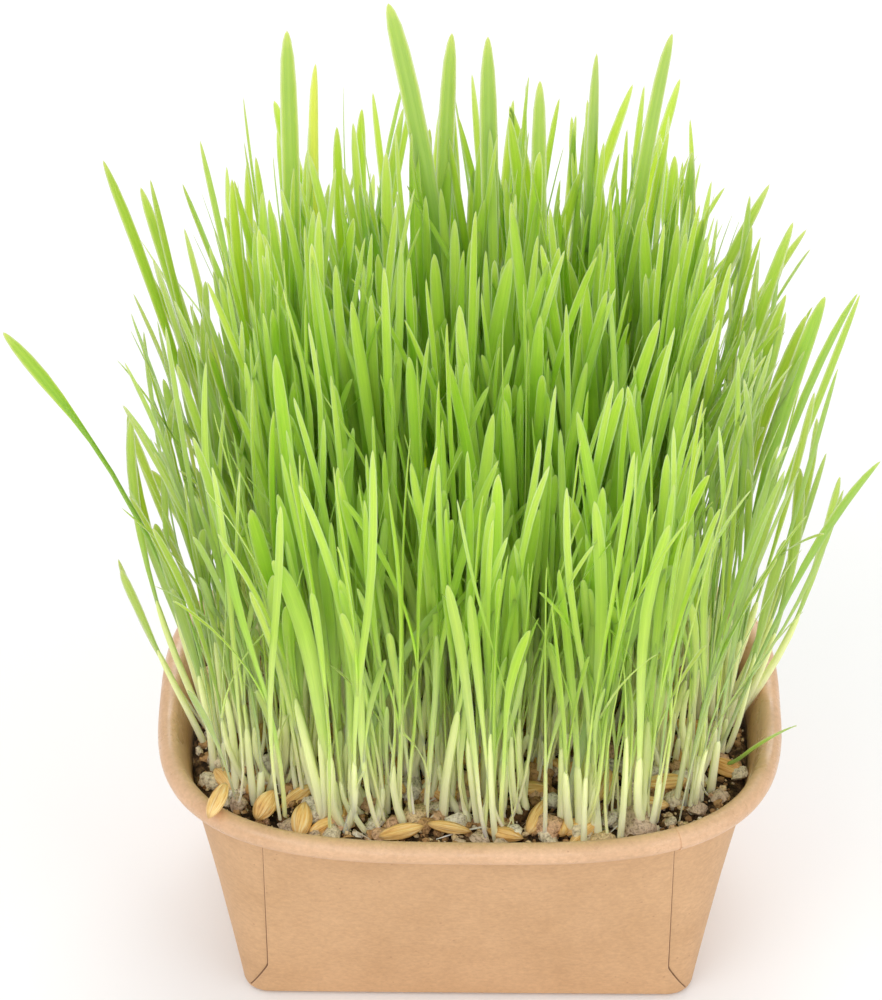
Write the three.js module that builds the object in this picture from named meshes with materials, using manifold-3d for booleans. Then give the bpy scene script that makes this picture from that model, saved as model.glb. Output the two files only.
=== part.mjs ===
// A tray of sprouted cereal grass, about ten days old: a folded kraft paper tray with a rolled rim, the
// gritty growing medium that fills it, loose hulled grains lying on top, and the grass itself. Each tuft
// of grass is one body, because its seedlings are knitted together by their roots in a plug of medium.
// Millimetres, +Z up. The origin is the centre of the tray's underside, and a long side faces -Y.
import * as THREE from "three";
import Module from "manifold-3d";

const wasm = await Module();
wasm.setup();

// Driving dimensions of the paper tray
const tray = {
  height: 50,
  rimHalfX: 60,
  rimHalfY: 47.5,
  rimPower: 3.15, // superellipse exponent of the bowed rim
  rollRadius: 2.1,
  board: 0.6, // thickness of the paper board
  baseHalfX: 43.5,
  baseHalfY: 31,
  baseCorner: 5,
  baseEdge: 1, // rounding where the wall meets the underside
};
const wallTop = {
  halfX: tray.rimHalfX - 2 * tray.rollRadius,
  halfY: tray.rimHalfY - 2 * tray.rollRadius,
  z: tray.height - tray.rollRadius,
};

// Driving dimensions of the medium and of the root plugs that stand in it
const gap = 0.35; // clearance between pieces that touch
const soil = {
  level: 43.4,
  relief: 0.6,
  shoulder: 0.96, // the edge of the surface, as a share of the block's width
  stoneCount: 36,
  stoneRadius: [1.1, 1.7],
  stoneLift: 0.1, // how far a stone's middle stands above the surface, in radii
};
const plug = {
  columns: 5,
  rows: 4,
  areaHalfX: 51.5,
  areaHalfY: 39,
  reach: 13, // half the square that a plug's seedlings are drawn in
  rib: 1.8, // medium left standing between two plugs
  bottom: 37,
  top: 43.6,
  dome: 0.3,
  taper: 0.88,
};

// Driving dimensions of the grass
const grass = {
  perSquareCm: 7.2,
  baseGap: 1.9, // least distance between two seedlings of a tuft at their feet
  edge: 1.2, // and from the plug's edge
  rootDepth: 1.6,
  height: 72,
  heightSpread: 38,
  backHeight: 11, // how much taller the rear edge grows
  shortShare: 0.1,
  shortHeight: [22, 52],
  shortWidth: 0.8, // against the width of a full-grown one
  width: 2.7,
  widthSpread: 1.7,
  lean: 0.09,
  bend: 0.12,
  outward: 0.04,
  twist: 0.9,
  grainGap: 1.2, // from a loose grain's side to the middle of a seedling
};
// Where along a blade its sections lie, each section's share of the width, and its thickness
const sections = [
  { at: 0, share: 0.52, thick: 1.3 },
  { at: 0.36, share: 0.7, thick: 1.05 },
  { at: 0.72, share: 1, thick: 0.85 },
];
// How seedlings are kept apart: they are compared at level cuts, from just above the plug to their tips
const clearance = {
  step: 3,
  lowest: 2,
  reach: 7, // cuts whose middles are further apart than this can't meet
  tipHalf: 0.1,
  between: 1.5, // least distance between seedlings of two tufts
  within: 1, // and of one tuft
  tries: 160,
  strictTries: 156, // after these the seedlings of one tuft may cross
};

// Seedlings that stand out from the rest: base, the point that the curve bends towards, tip, width and facing
const standouts = [
  { base: [-49, -6], control: [-55, -6, 96], tip: [-85.3, -5, 136.8], width: 3, facing: 0.4 },
  { base: [-48, 20], control: [-50, 22, 105], tip: [-68.4, 25, 155.1], width: 2.8, facing: 0.5 },
  { base: [-44, 25], control: [-48, 27, 100], tip: [-62, 29, 146.7], width: 2.8, facing: 0.2 },
  { base: [-33, 24], control: [-34, 28, 120], tip: [-34.2, 32, 178.9], width: 4.2, facing: 0.1 },
  { base: [-26, 27], control: [-31, 29, 120], tip: [-29, 31, 172.5], width: 3.2, facing: 0.6 },
  { base: [-2, 25], control: [-2, 28, 135], tip: [-15.6, 30, 185.9], width: 4.5, facing: 0 },
  { base: [-7, 30], control: [-7, 32, 120], tip: [-4, 34, 177.4], width: 4, facing: 0.1 },
  { base: [6, 26], control: [4, 28, 115], tip: [2.6, 30, 179.1], width: 4.4, facing: 0.2 },
  { base: [13, 23], control: [14, 26, 110], tip: [12.2, 28, 171], width: 3.6, facing: 0 },
  { base: [23, 27], control: [21, 30, 115], tip: [22.6, 32, 174.5], width: 3.4, facing: 0.5 },
  { base: [26, 31], control: [27, 34, 130], tip: [36.5, 36, 176.4], width: 3.8, facing: 0.3 },
  { base: [38, 27], control: [40, 30, 100], tip: [40.8, 34, 152], width: 3.2, facing: 0.2 },
  { base: [44, 20], control: [49, 23, 100], tip: [51.4, 25, 148.3], width: 2.8, facing: 0.6 },
  { base: [47, 13], control: [54, 15, 95], tip: [57, 17, 141], width: 2.6, facing: 0.8 },
  { base: [48, 3], control: [52, 3, 95], tip: [64.6, 4, 139.9], width: 4.2, facing: 0.1 },
  { base: [49, 8], control: [55, 9, 98], tip: [71, 9, 137.3], width: 3, facing: 0.4 },
  { base: [50, -3], control: [60, -2, 85], tip: [67.3, -1, 127.4], width: 2.6, facing: 0.7 },
  { base: [47, -13], control: [57, -15, 88], tip: [74.7, -16, 117.2], width: 3.2, facing: 0.3 },
  { base: [49, -8], control: [62, -8, 70], tip: [69, -8, 105], width: 2.2, facing: 0.5 },
  { base: [49.5, -16], control: [54, -18, 52], tip: [61.9, -19, 57.7], width: 2.2, facing: 0.4 },
  { base: [-50, 3], control: [-62, 2, 78], tip: [-63.7, 1, 115.1], width: 2.6, facing: 0.9 },
  { base: [-50, -2], control: [-60, -3, 56], tip: [-66.5, -3, 84], width: 2, facing: 0.7 },
  { base: [-21, -33], control: [-20, -31, 78], tip: [-1.8, -30, 98.1], width: 2.8, facing: 0.3 },
  { base: [18, -30], control: [22, -33, 78], tip: [36.5, -35, 107.4], width: 4.4, facing: 0.1 },
];

// Loose hulled grains on the medium: middle, heading, length, width and how steeply one end is raised
const grain = { sides: 6, height: 0.82, blunt: 0.14 };
const looseGrains = [
  { at: [-38.4, -29.2], heading: 60, length: 7, width: 4.2, pitch: 25 },
  { at: [-31.4, -33.2], heading: 82, length: 8, width: 3.8, pitch: 18 },
  { at: [-12.6, -35.9], heading: 14, length: 9, width: 3, pitch: 6 },
  { at: [-3.6, -34.6], heading: -6, length: 8.6, width: 2.9, pitch: -8 },
  { at: [-14.6, -22.6], heading: -52, length: 8.8, width: 3.6, pitch: 12 },
  { at: [1.2, -20.4], heading: 66, length: 7.4, width: 3.8, pitch: 20 },
  { at: [11.4, -23.4], heading: 2, length: 7.6, width: 3.7, pitch: 4 },
  { at: [12.9, -31.4], heading: 66, length: 8.8, width: 3, pitch: 16 },
  { at: [25.6, -22.4], heading: 70, length: 7.4, width: 3.6, pitch: 22 },
  { at: [37.4, -21.2], heading: 4, length: 9, width: 3.9, pitch: 4 },
  { at: [34.6, -27.2], heading: -8, length: 7, width: 3.2, pitch: 0 },
  { at: [42.6, -4.6], heading: -38, length: 9.4, width: 3.8, pitch: 14 },
  { at: [-24, -13.6], heading: 24, length: 7.6, width: 3.4, pitch: 10 },
  { at: [20.6, -17.4], heading: 40, length: 7, width: 3.4, pitch: 12 },
];
// One grain has dropped across the rolled rim: its end over the medium, its end outside, and its width
const rimGrain = { inner: [-45.6, -31.6, 53.1], outer: [-48.6, -39.6, 51], width: 3.4 };

// A repeatable stream of numbers from 0 to 1
function randomStream(seed) {
  let state = seed >>> 0;
  const next = () => {
    state = (Math.imul(state, 1664525) + 1013904223) >>> 0;
    return state / 4294967296;
  };
  for (let warmUp = 0; warmUp < 3; warmUp += 1) next();
  return next;
}

const mix = (a, b, share) => a + (b - a) * share;

// Solids from vertices and triangles, and back to three.js geometry
function solidFrom(vertices, triangles) {
  const mesh = new wasm.Mesh({
    numProp: 3,
    vertProperties: new Float32Array(vertices.flat()),
    triVerts: new Uint32Array(triangles.flat()),
  });
  return new wasm.Manifold(mesh);
}

function geometryFrom(solid) {
  const mesh = solid.getMesh();
  const geometry = new THREE.BufferGeometry();
  geometry.setAttribute("position", new THREE.BufferAttribute(new Float32Array(mesh.vertProperties), 3));
  geometry.setIndex(new THREE.BufferAttribute(new Uint32Array(mesh.triVerts), 1));
  geometry.computeVertexNormals();
  return geometry;
}

// A closed skin through rings of equal count, fanned shut at both ends. Each four-sided facet is split
// along its shorter diagonal, so that walls that face each other are split alike.
const apart = (p, q) => Math.hypot(p[0] - q[0], p[1] - q[1], p[2] - q[2]);
function skinRings(rings, firstCentre, lastCentre) {
  const count = rings[0].length;
  const vertices = rings.flat();
  const triangles = [];
  for (let r = 0; r + 1 < rings.length; r += 1) {
    for (let i = 0; i < count; i += 1) {
      const a = r * count + i;
      const b = r * count + ((i + 1) % count);
      if (apart(vertices[a], vertices[b + count]) < apart(vertices[b], vertices[a + count])) {
        triangles.push([a, b, b + count], [a, b + count, a + count]);
      } else {
        triangles.push([a, b, a + count], [b, b + count, a + count]);
      }
    }
  }
  const first = vertices.push(firstCentre) - 1;
  const last = vertices.push(lastCentre) - 1;
  const lastRing = (rings.length - 1) * count;
  for (let i = 0; i < count; i += 1) {
    const j = (i + 1) % count;
    triangles.push([first, j, i], [last, lastRing + i, lastRing + j]);
  }
  return solidFrom(vertices, triangles);
}

// The tray's outline at a share of the wall's height: a rounded rectangle at the base, and a
// superellipse at the rim
const outlineSteps = { side: 4, corner: 5 };
function quarterOutline(share) {
  const seamX = tray.baseHalfX - tray.baseCorner;
  const seamY = tray.baseHalfY - tray.baseCorner;
  const power = tray.rimPower;
  const rimY = (x) => wallTop.halfY * (1 - (x / wallTop.halfX) ** power) ** (1 / power);
  const rimX = (y) => wallTop.halfX * (1 - (y / wallTop.halfY) ** power) ** (1 / power);
  const startAngle = Math.acos((seamX / wallTop.halfX) ** (power / 2));
  const endAngle = Math.asin((seamY / wallTop.halfY) ** (power / 2));
  const points = [];
  for (let i = 0; i < outlineSteps.side; i += 1) {
    const x = (seamX * i) / outlineSteps.side;
    points.push([x, mix(-tray.baseHalfY, -rimY(x), share)]);
  }
  for (let i = 0; i <= outlineSteps.corner; i += 1) {
    const turn = i / outlineSteps.corner;
    const arc = (turn * Math.PI) / 2;
    const angle = mix(startAngle, endAngle, turn);
    const base = [seamX + tray.baseCorner * Math.sin(arc), -seamY - tray.baseCorner * Math.cos(arc)];
    const rim = [
      wallTop.halfX * Math.cos(angle) ** (2 / power),
      -wallTop.halfY * Math.sin(angle) ** (2 / power),
    ];
    points.push([mix(base[0], rim[0], share), mix(base[1], rim[1], share)]);
  }
  for (let i = 1; i <= outlineSteps.side; i += 1) {
    const y = seamY * (1 - i / outlineSteps.side);
    points.push([mix(tray.baseHalfX, rimX(y), share), -y]);
  }
  return points;
}

function trayOutline(share) {
  const quarter = quarterOutline(share);
  const back = quarter.map(([x, y]) => [x, -y]).reverse();
  const half = [...quarter, ...back.slice(1)];
  const left = half.map(([x, y]) => [-x, y]).reverse();
  return [...half, ...left.slice(1, -1)];
}

function outlineNormals(outline) {
  const count = outline.length;
  return outline.map((_, i) => {
    const before = outline[(i + count - 1) % count];
    const after = outline[(i + 1) % count];
    const length = Math.hypot(after[0] - before[0], after[1] - before[1]);
    return [(after[1] - before[1]) / length, -(after[0] - before[0]) / length];
  });
}

function ringAt(share, outset, z) {
  const outline = trayOutline(share);
  const normals = outlineNormals(outline);
  return outline.map(([x, y], i) => [x + normals[i][0] * outset, y + normals[i][1] * outset, z]);
}

const shareAt = (z) => z / wallTop.z;
const wallLevels = [16, 32]; // heights of the wall's extra rings, which keep its facets even
const ringAtHeight = (z, outset) => ringAt(shareAt(z), outset, z);

// Folded paper tray: underside, leaning wall, rolled rim, inner wall and floor, all one sheet
function paperTray() {
  const radius = tray.rollRadius;
  const rings = [ringAt(0, -tray.baseEdge, 0), ringAtHeight(tray.baseEdge, 0)];
  for (const z of wallLevels) rings.push(ringAtHeight(z, 0));
  for (const degrees of [-142, -92, -45, 0, 45, 92, 142]) {
    const angle = THREE.MathUtils.degToRad(degrees);
    rings.push(ringAt(1, radius + radius * Math.cos(angle), wallTop.z + radius * Math.sin(angle)));
  }
  rings.push(ringAtHeight(wallTop.z - radius, -tray.board));
  for (const z of wallLevels.toReversed()) rings.push(ringAtHeight(z, -tray.board));
  rings.push(ringAtHeight(tray.board, -tray.board));
  return skinRings(rings, [0, 0, 0], [0, 0, tray.board]);
}

// Gentle lumps of the medium's surface
function surfaceHeight(x, y) {
  const swell = Math.sin(x * 0.31 + 1.3) * Math.cos(y * 0.27 - 0.4);
  const ripple = Math.sin(x * 0.73 - y * 0.61);
  return soil.level + soil.relief * (0.6 * swell + 0.4 * ripple);
}

function mediumBlock() {
  const inset = -tray.board - gap;
  const floor = tray.board + gap;
  const shoulder = soil.level - soil.relief;
  const everyOther = (point, i) => i % 2 === 0;
  const rings = [floor, ...wallLevels, shoulder].map((z) => ringAtHeight(z, inset).filter(everyOther));
  const edge = rings.at(-1).map(([x, y]) => [x * soil.shoulder, y * soil.shoulder]);
  rings.push(edge.map(([x, y]) => [x, y, surfaceHeight(x, y)]));
  return skinRings(rings, [0, 0, floor], [0, 0, surfaceHeight(0, 0)]);
}

// A rounded stone with irregular faces
const widestStretch = 1.3;
function stone(random, centre, radius) {
  const shape = new THREE.IcosahedronGeometry(1, 0);
  const corners = new Map();
  const vertices = [];
  const triangles = [];
  const stretch = [mix(0.8, widestStretch, random()), mix(0.7, 1.1, random()), mix(0.55, 0.85, random())];
  const turn = random() * Math.PI;
  const position = shape.getAttribute("position");
  for (let i = 0; i < position.count; i += 1) {
    const key = [position.getX(i), position.getY(i), position.getZ(i)].map((v) => v.toFixed(3)).join();
    if (!corners.has(key)) {
      const reach = radius * mix(0.85, 1.12, random());
      const x = position.getX(i) * reach * stretch[0];
      const y = position.getY(i) * reach * stretch[1];
      const place = [
        centre[0] + x * Math.cos(turn) - y * Math.sin(turn),
        centre[1] + x * Math.sin(turn) + y * Math.cos(turn),
        centre[2] + position.getZ(i) * reach * stretch[2],
      ];
      corners.set(key, vertices.push(place) - 1);
    }
    if (i % 3 === 0) triangles.push([]);
    triangles.at(-1).push(corners.get(key));
  }
  return solidFrom(vertices, triangles);
}

// Share of the way from the centre to the growing area's edge
function areaShare(x, y, inset = 0) {
  const power = tray.rimPower;
  const across = Math.abs(x) / (plug.areaHalfX - inset);
  const along = Math.abs(y) / (plug.areaHalfY - inset);
  return (across ** power + along ** power) ** (1 / power);
}

// Stones crowd the strip inside the rim, where few seedlings stand, but not under the loose grains
function stones() {
  const random = randomStream(4711);
  const made = [];
  for (let i = 0; i < soil.stoneCount; i += 1) {
    const angle = ((i + 0.5 * random()) / soil.stoneCount) * 2 * Math.PI;
    const power = 2 / tray.rimPower;
    const onStrip = mix(0.985, 1.01, random());
    const x = Math.sign(Math.cos(angle)) * Math.abs(Math.cos(angle)) ** power * plug.areaHalfX * onStrip;
    const y = Math.sign(Math.sin(angle)) * Math.abs(Math.sin(angle)) ** power * plug.areaHalfY * onStrip;
    const radius = mix(...soil.stoneRadius, random());
    const lump = stone(random, [x, y, soil.level + soil.stoneLift * radius], radius);
    const reach = radius * widestStretch + gap;
    if (looseGrains.every((loose) => grainDistance(x, y, loose) > loose.width / 2 + reach)) made.push(lump);
  }
  return made;
}

// A square grid is pressed into the bowed shape of the growing area, and each cell holds one root plug
function onArea(u, v) {
  const power = tray.rimPower;
  const reach = (Math.abs(u) ** power + Math.abs(v) ** power) ** (1 / power);
  const pressed = reach > 0 ? Math.max(Math.abs(u), Math.abs(v)) / reach : 1;
  return [u * pressed * plug.areaHalfX, v * pressed * plug.areaHalfY];
}

function tuftGrid() {
  const tufts = [];
  for (let row = 0; row < plug.rows; row += 1) {
    for (let column = 0; column < plug.columns; column += 1) {
      const u = (2 * column + 1) / plug.columns - 1;
      const v = (2 * row + 1) / plug.rows - 1;
      const a = 1 / plug.columns;
      const b = 1 / plug.rows;
      const corners = [[a, -b], [a, b], [-a, b], [-a, -b]];
      const cell = corners.map(([du, dv]) => onArea(u + du, v + dv));
      const x = cell.reduce((sum, corner) => sum + corner[0], 0) / cell.length;
      const y = cell.reduce((sum, corner) => sum + corner[1], 0) / cell.length;
      tufts.push({ index: tufts.length, x, y, cell });
    }
  }
  return tufts;
}

// A plug's plan: its cell, drawn in by half a rib and let out by the outset
const cornerReach = Math.SQRT2; // a square's corner moves this much further than its sides do
function plugOutline({ x, y, cell }, outset) {
  return cell.map(([cx, cy]) => {
    const reach = Math.hypot(cx - x, cy - y);
    const kept = 1 + (cornerReach * (outset - plug.rib / 2)) / reach;
    return [mix(x, cx, kept), mix(y, cy, kept)];
  });
}

// The plug itself, or with an outset the socket that it stands in, which is open at the top
const socketHeight = 4; // how far the cut for a socket reaches above the plug
function plugBlock(tuft, outset = 0) {
  const outline = plugOutline(tuft, outset);
  const bottom = plug.bottom - outset;
  const low = outline.map(([x, y]) => [mix(tuft.x, x, plug.taper), mix(tuft.y, y, plug.taper), bottom]);
  const high = outline.map(([x, y]) => [x, y, plug.top]);
  const rings = [low, high];
  if (outset > 0) rings.push(outline.map(([x, y]) => [x, y, plug.top + socketHeight]));
  const top = rings.at(-1)[0][2] + plug.dome;
  return skinRings(rings, [tuft.x, tuft.y, bottom], [tuft.x, tuft.y, top]);
}

// A blade's line is one smooth curve from its base towards the control point and over to the tip
function bladePoint(blade, t) {
  const u = 1 - t;
  return [0, 1, 2].map((k) => u * u * blade.base[k] + 2 * u * t * blade.control[k] + t * t * blade.tip[k]);
}

// The sections that the solid blade has: centre, half width across and the direction of the rib
function bladeSections(blade) {
  const tip = bladePoint(blade, 1);
  const places = sections.map(({ at, share, thick }, i) => {
    const centre = bladePoint(blade, at);
    const ahead = i + 1 < sections.length ? bladePoint(blade, sections[i + 1].at) : tip;
    const along = [ahead[0] - centre[0], ahead[1] - centre[1], ahead[2] - centre[2]];
    const length = Math.hypot(...along);
    const run = along.map((v) => v / length);
    const facing = blade.facing + blade.twist * at;
    const flat = [Math.cos(facing), Math.sin(facing), 0];
    const slope = flat[0] * run[0] + flat[1] * run[1];
    const side = flat.map((v, k) => v - run[k] * slope);
    const sideLength = Math.hypot(...side);
    const across = side.map((v) => v / sideLength);
    const rib = [
      run[1] * across[2] - run[2] * across[1],
      run[2] * across[0] - run[0] * across[2],
      run[0] * across[1] - run[1] * across[0],
    ];
    return { centre, across, rib, half: (blade.width * share) / 2, thick };
  });
  return { places, tip };
}

// The solid blade has three sides: two edges and a rib along its back
const belowMiddle = 0.35;
function bladeSolid(blade) {
  const { places, tip } = bladeSections(blade);
  const rings = places.map(({ centre, across, rib, half, thick }) => [
    centre.map((v, k) => v - across[k] * half - rib[k] * thick * belowMiddle),
    centre.map((v, k) => v + across[k] * half - rib[k] * thick * belowMiddle),
    centre.map((v, k) => v + rib[k] * thick * (1 - belowMiddle)),
  ]);
  const vertices = [...rings.flat(), tip];
  const last = vertices.length - 1;
  const triangles = [[0, 2, 1]];
  for (let r = 0; r + 1 < rings.length; r += 1) {
    for (let i = 0; i < 3; i += 1) {
      const a = r * 3 + i;
      const b = r * 3 + ((i + 1) % 3);
      triangles.push([a, b, b + 3], [a, b + 3, a + 3]);
    }
  }
  for (let i = 0; i < 3; i += 1) triangles.push([last - 3 + i, last - 3 + ((i + 1) % 3), last]);
  return solidFrom(vertices, triangles);
}

// Level cuts through a blade, each a short line across it, so that two blades can be held apart
function levelCuts(blade) {
  const { places, tip } = bladeSections(blade);
  const knots = [...places, { centre: tip, across: places.at(-1).across, half: clearance.tipHalf }];
  const cuts = new Map();
  const lowest = Math.ceil((plug.top + clearance.lowest) / clearance.step);
  for (let level = lowest; level * clearance.step < tip[2]; level += 1) {
    const z = level * clearance.step;
    const next = knots.findIndex((knot) => knot.centre[2] > z);
    if (next < 1) continue;
    const low = knots[next - 1];
    const high = knots[next];
    const share = (z - low.centre[2]) / (high.centre[2] - low.centre[2]);
    const half = mix(low.half, high.half, share);
    cuts.set(level, [
      mix(low.centre[0], high.centre[0], share),
      mix(low.centre[1], high.centre[1], share),
      mix(low.across[0], high.across[0], share) * half,
      mix(low.across[1], high.across[1], share) * half,
    ]);
  }
  return cuts;
}

function pointToLine(px, py, [cx, cy, hx, hy]) {
  const length2 = hx * hx + hy * hy;
  const along = Math.max(-1, Math.min(1, ((px - cx) * hx + (py - cy) * hy) / length2));
  return Math.hypot(px - cx - hx * along, py - cy - hy * along);
}

function cutDistance(a, b) {
  const cross = a[2] * b[3] - a[3] * b[2];
  if (Math.abs(cross) > 1e-9) {
    const dx = b[0] - a[0];
    const dy = b[1] - a[1];
    const onA = (dx * b[3] - dy * b[2]) / cross;
    const onB = (dx * a[3] - dy * a[2]) / cross;
    if (Math.abs(onA) <= 1 && Math.abs(onB) <= 1) return 0;
  }
  return Math.min(
    pointToLine(a[0] + a[2], a[1] + a[3], b),
    pointToLine(a[0] - a[2], a[1] - a[3], b),
    pointToLine(b[0] + b[2], b[1] + b[3], a),
    pointToLine(b[0] - b[2], b[1] - b[3], a),
  );
}

function clearOf(cuts, other, distance) {
  for (const [level, cut] of cuts) {
    const facing = other.cuts.get(level);
    if (!facing) continue;
    const reach = Math.hypot(cut[0] - facing[0], cut[1] - facing[1]);
    if (reach < clearance.reach && cutDistance(cut, facing) < distance) return false;
  }
  return true;
}

// Distance in plan from a point to a loose grain's middle line
function grainDistance(x, y, { at, heading, length }) {
  const angle = THREE.MathUtils.degToRad(heading);
  const reach = length / 2;
  return pointToLine(x, y, [at[0], at[1], Math.cos(angle) * reach, Math.sin(angle) * reach]);
}

// One draw of a seedling at a base point: it leans a little outward and bends as it grows
function drawBlade(random, x, y) {
  const outX = x / plug.areaHalfX;
  const outY = y / plug.areaHalfY;
  const spread = (amount) => amount * (random() + random() - 1);
  const leanX = grass.outward * outX + spread(grass.lean);
  const leanY = grass.outward * outY + spread(grass.lean);
  const bendX = grass.outward * outX + spread(grass.bend);
  const bendY = grass.outward * outY + spread(grass.bend);
  const short = random() < grass.shortShare;
  const tall = grass.height + grass.heightSpread * random() + grass.backHeight * outY;
  const height = short ? mix(...grass.shortHeight, random()) : tall;
  const width = (short ? grass.shortWidth : 1) * (grass.width + grass.widthSpread * random());
  const droop = 0.5 * Math.hypot(bendX, bendY);
  const root = plug.top - grass.rootDepth;
  return {
    base: [x, y, root],
    control: [x + leanX * height * 0.5, y + leanY * height * 0.5, root + height * 0.5],
    tip: [x + (leanX + bendX) * height, y + (leanY + bendY) * height, root + height * (1 - droop)],
    width,
    facing: random() * Math.PI,
    twist: mix(-grass.twist, grass.twist, random()),
  };
}

function nearestTuft(tufts, [x, y]) {
  const away = tufts.map((tuft) => Math.hypot(x - tuft.x, y - tuft.y));
  return tufts[away.indexOf(Math.min(...away))];
}

// Whether a seedling can stand here: on the plug, off its edge and beside the loose grains
function standsOn(tuft, x, y) {
  const outline = plugOutline(tuft, -grass.edge);
  const inside = outline.every(([ax, ay], i) => {
    const [bx, by] = outline[(i + 1) % outline.length];
    return (bx - ax) * (y - ay) - (by - ay) * (x - ax) > 0;
  });
  const beside = (loose) => grainDistance(x, y, loose) > loose.width / 2 + grass.grainGap;
  return inside && looseGrains.every(beside);
}

// The foot of a seedling that stands out, drawn in to its plug where the plug ends short of it
function footOnPlug(tuft, [x, y]) {
  const steps = 20;
  for (let i = 0; i < steps; i += 1) {
    const foot = [mix(x, tuft.x, i / steps), mix(y, tuft.y, i / steps)];
    if (standsOn(tuft, ...foot)) return foot;
  }
  return [tuft.x, tuft.y];
}

function planArea(outline) {
  return outline.reduce((sum, [ax, ay], i) => {
    const [bx, by] = outline[(i + 1) % outline.length];
    return sum + (ax * by - bx * ay) / 2;
  }, 0);
}

// Seedlings are set one to each tuft in turn. Each keeps clear of other tufts, and of its own while it can.
function sowGrass(tufts) {
  const placed = standouts.map(({ base, control, tip, width, facing }) => {
    const tuft = nearestTuft(tufts, base);
    const foot = footOnPlug(tuft, base);
    const blade = { base: [...foot, plug.top - grass.rootDepth], control, tip, width, facing, twist: 0.2 };
    return { blade, tuft: tuft.index, cuts: levelCuts(blade) };
  });
  const wanted = tufts.map((tuft) => Math.round((planArea(plugOutline(tuft, 0)) * grass.perSquareCm) / 100));
  for (let slot = 0; slot < Math.max(...wanted); slot += 1) {
    for (const tuft of tufts) {
      const random = randomStream(7919 * (tuft.index + 1) + 104729 * (slot + 1));
      for (let attempt = 0; attempt < clearance.tries && slot < wanted[tuft.index]; attempt += 1) {
        const x = tuft.x + (2 * random() - 1) * plug.reach;
        const y = tuft.y + (2 * random() - 1) * plug.reach;
        const blade = drawBlade(random, x, y);
        const own = placed.filter((other) => other.tuft === tuft.index);
        const near = ({ blade }) => Math.hypot(x - blade.base[0], y - blade.base[1]) < grass.baseGap;
        const crowded = own.some(near);
        if (crowded || !standsOn(tuft, x, y)) continue;
        const cuts = levelCuts(blade);
        const within = attempt < clearance.strictTries ? clearance.within : 0;
        const room = (other) => clearOf(cuts, other, other.tuft === tuft.index ? within : clearance.between);
        if (placed.every(room)) {
          placed.push({ blade, tuft: tuft.index, cuts });
          break;
        }
      }
    }
  }
  return placed;
}

// A hulled grain: a pointed oval body, lying along X with its middle at the origin
function grainShape(length, width) {
  const rings = [-0.84, -0.42, 0, 0.42, 0.84].map((at) => {
    const fullness = mix(Math.sqrt(1 - at * at), 1, grain.blunt);
    const ring = [];
    for (let i = 0; i < grain.sides; i += 1) {
      const angle = ((i + 0.5) / grain.sides) * 2 * Math.PI;
      const reach = (width / 2) * fullness;
      ring.push([(at * length) / 2, reach * Math.cos(angle), reach * grain.height * Math.sin(angle)]);
    }
    return ring;
  });
  return skinRings(rings, [-length / 2, 0, 0], [length / 2, 0, 0]);
}

// A loose grain rests on the plugs with one end raised
function looseGrain({ at, heading, length, width, pitch }) {
  const solid = grainShape(length, width).rotate([0, -pitch, 0]).rotate([0, 0, heading]);
  const lowest = solid.boundingBox().min[2];
  return solid.translate([at[0], at[1], plug.top + plug.dome + gap - lowest]);
}

function grainOverRim() {
  const { inner, outer, width } = rimGrain;
  const along = outer.map((v, k) => v - inner[k]);
  const length = Math.hypot(...along);
  const heading = THREE.MathUtils.radToDeg(Math.atan2(along[1], along[0]));
  const pitch = THREE.MathUtils.radToDeg(Math.asin(along[2] / length));
  const middle = outer.map((v, k) => (v + inner[k]) / 2);
  return grainShape(length, width).rotate([0, -pitch, 0]).rotate([0, 0, heading]).translate(middle);
}

// Spent grains at the feet of some seedlings, part sunk in the plug
const spent = {
  every: 9,
  first: 2,
  halfLength: 3.3,
  shoulder: 1.5,
  halfWidth: 1.2,
  halfHeight: 1,
  offset: 2.2, // from the seedling's foot to the grain's middle
  lift: 0.6,
};
function spentGrain(blade, heading) {
  const angle = THREE.MathUtils.degToRad(heading);
  const x = blade.base[0] + Math.cos(angle) * spent.offset;
  const y = blade.base[1] + Math.sin(angle) * spent.offset;
  const corners = [[1, 1], [-1, 1], [-1, -1], [1, -1]];
  const rings = [-spent.shoulder, spent.shoulder].map((along) =>
    corners.map(([side, rise]) => [along, side * spent.halfWidth, rise * spent.halfHeight]),
  );
  return skinRings(rings, [-spent.halfLength, 0, 0], [spent.halfLength, 0, 0])
    .rotate([0, 0, heading])
    .translate([x, y, plug.top + spent.lift]);
}

// One tuft: its root plug, its seedlings and the spent grains that they still hang on to
function tuftSolid(tuft, placed) {
  const random = randomStream(31337 + tuft.index);
  const own = placed.filter((entry) => entry.tuft === tuft.index).map((entry) => entry.blade);
  const grains = [];
  own.forEach((blade, i) => {
    const heading = random() * 360;
    const angle = THREE.MathUtils.degToRad(heading);
    const reach = spent.offset + spent.halfLength;
    const ends = [reach, spent.offset, spent.offset - spent.halfLength].map((r) => [
      blade.base[0] + r * Math.cos(angle),
      blade.base[1] + r * Math.sin(angle),
    ]);
    const room = ends.every(([x, y]) => standsOn(tuft, x, y));
    if (i % spent.every === spent.first && room) grains.push(spentGrain(blade, heading));
  });
  return wasm.Manifold.union([plugBlock(tuft), ...grains, ...own.map(bladeSolid)]);
}

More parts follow.
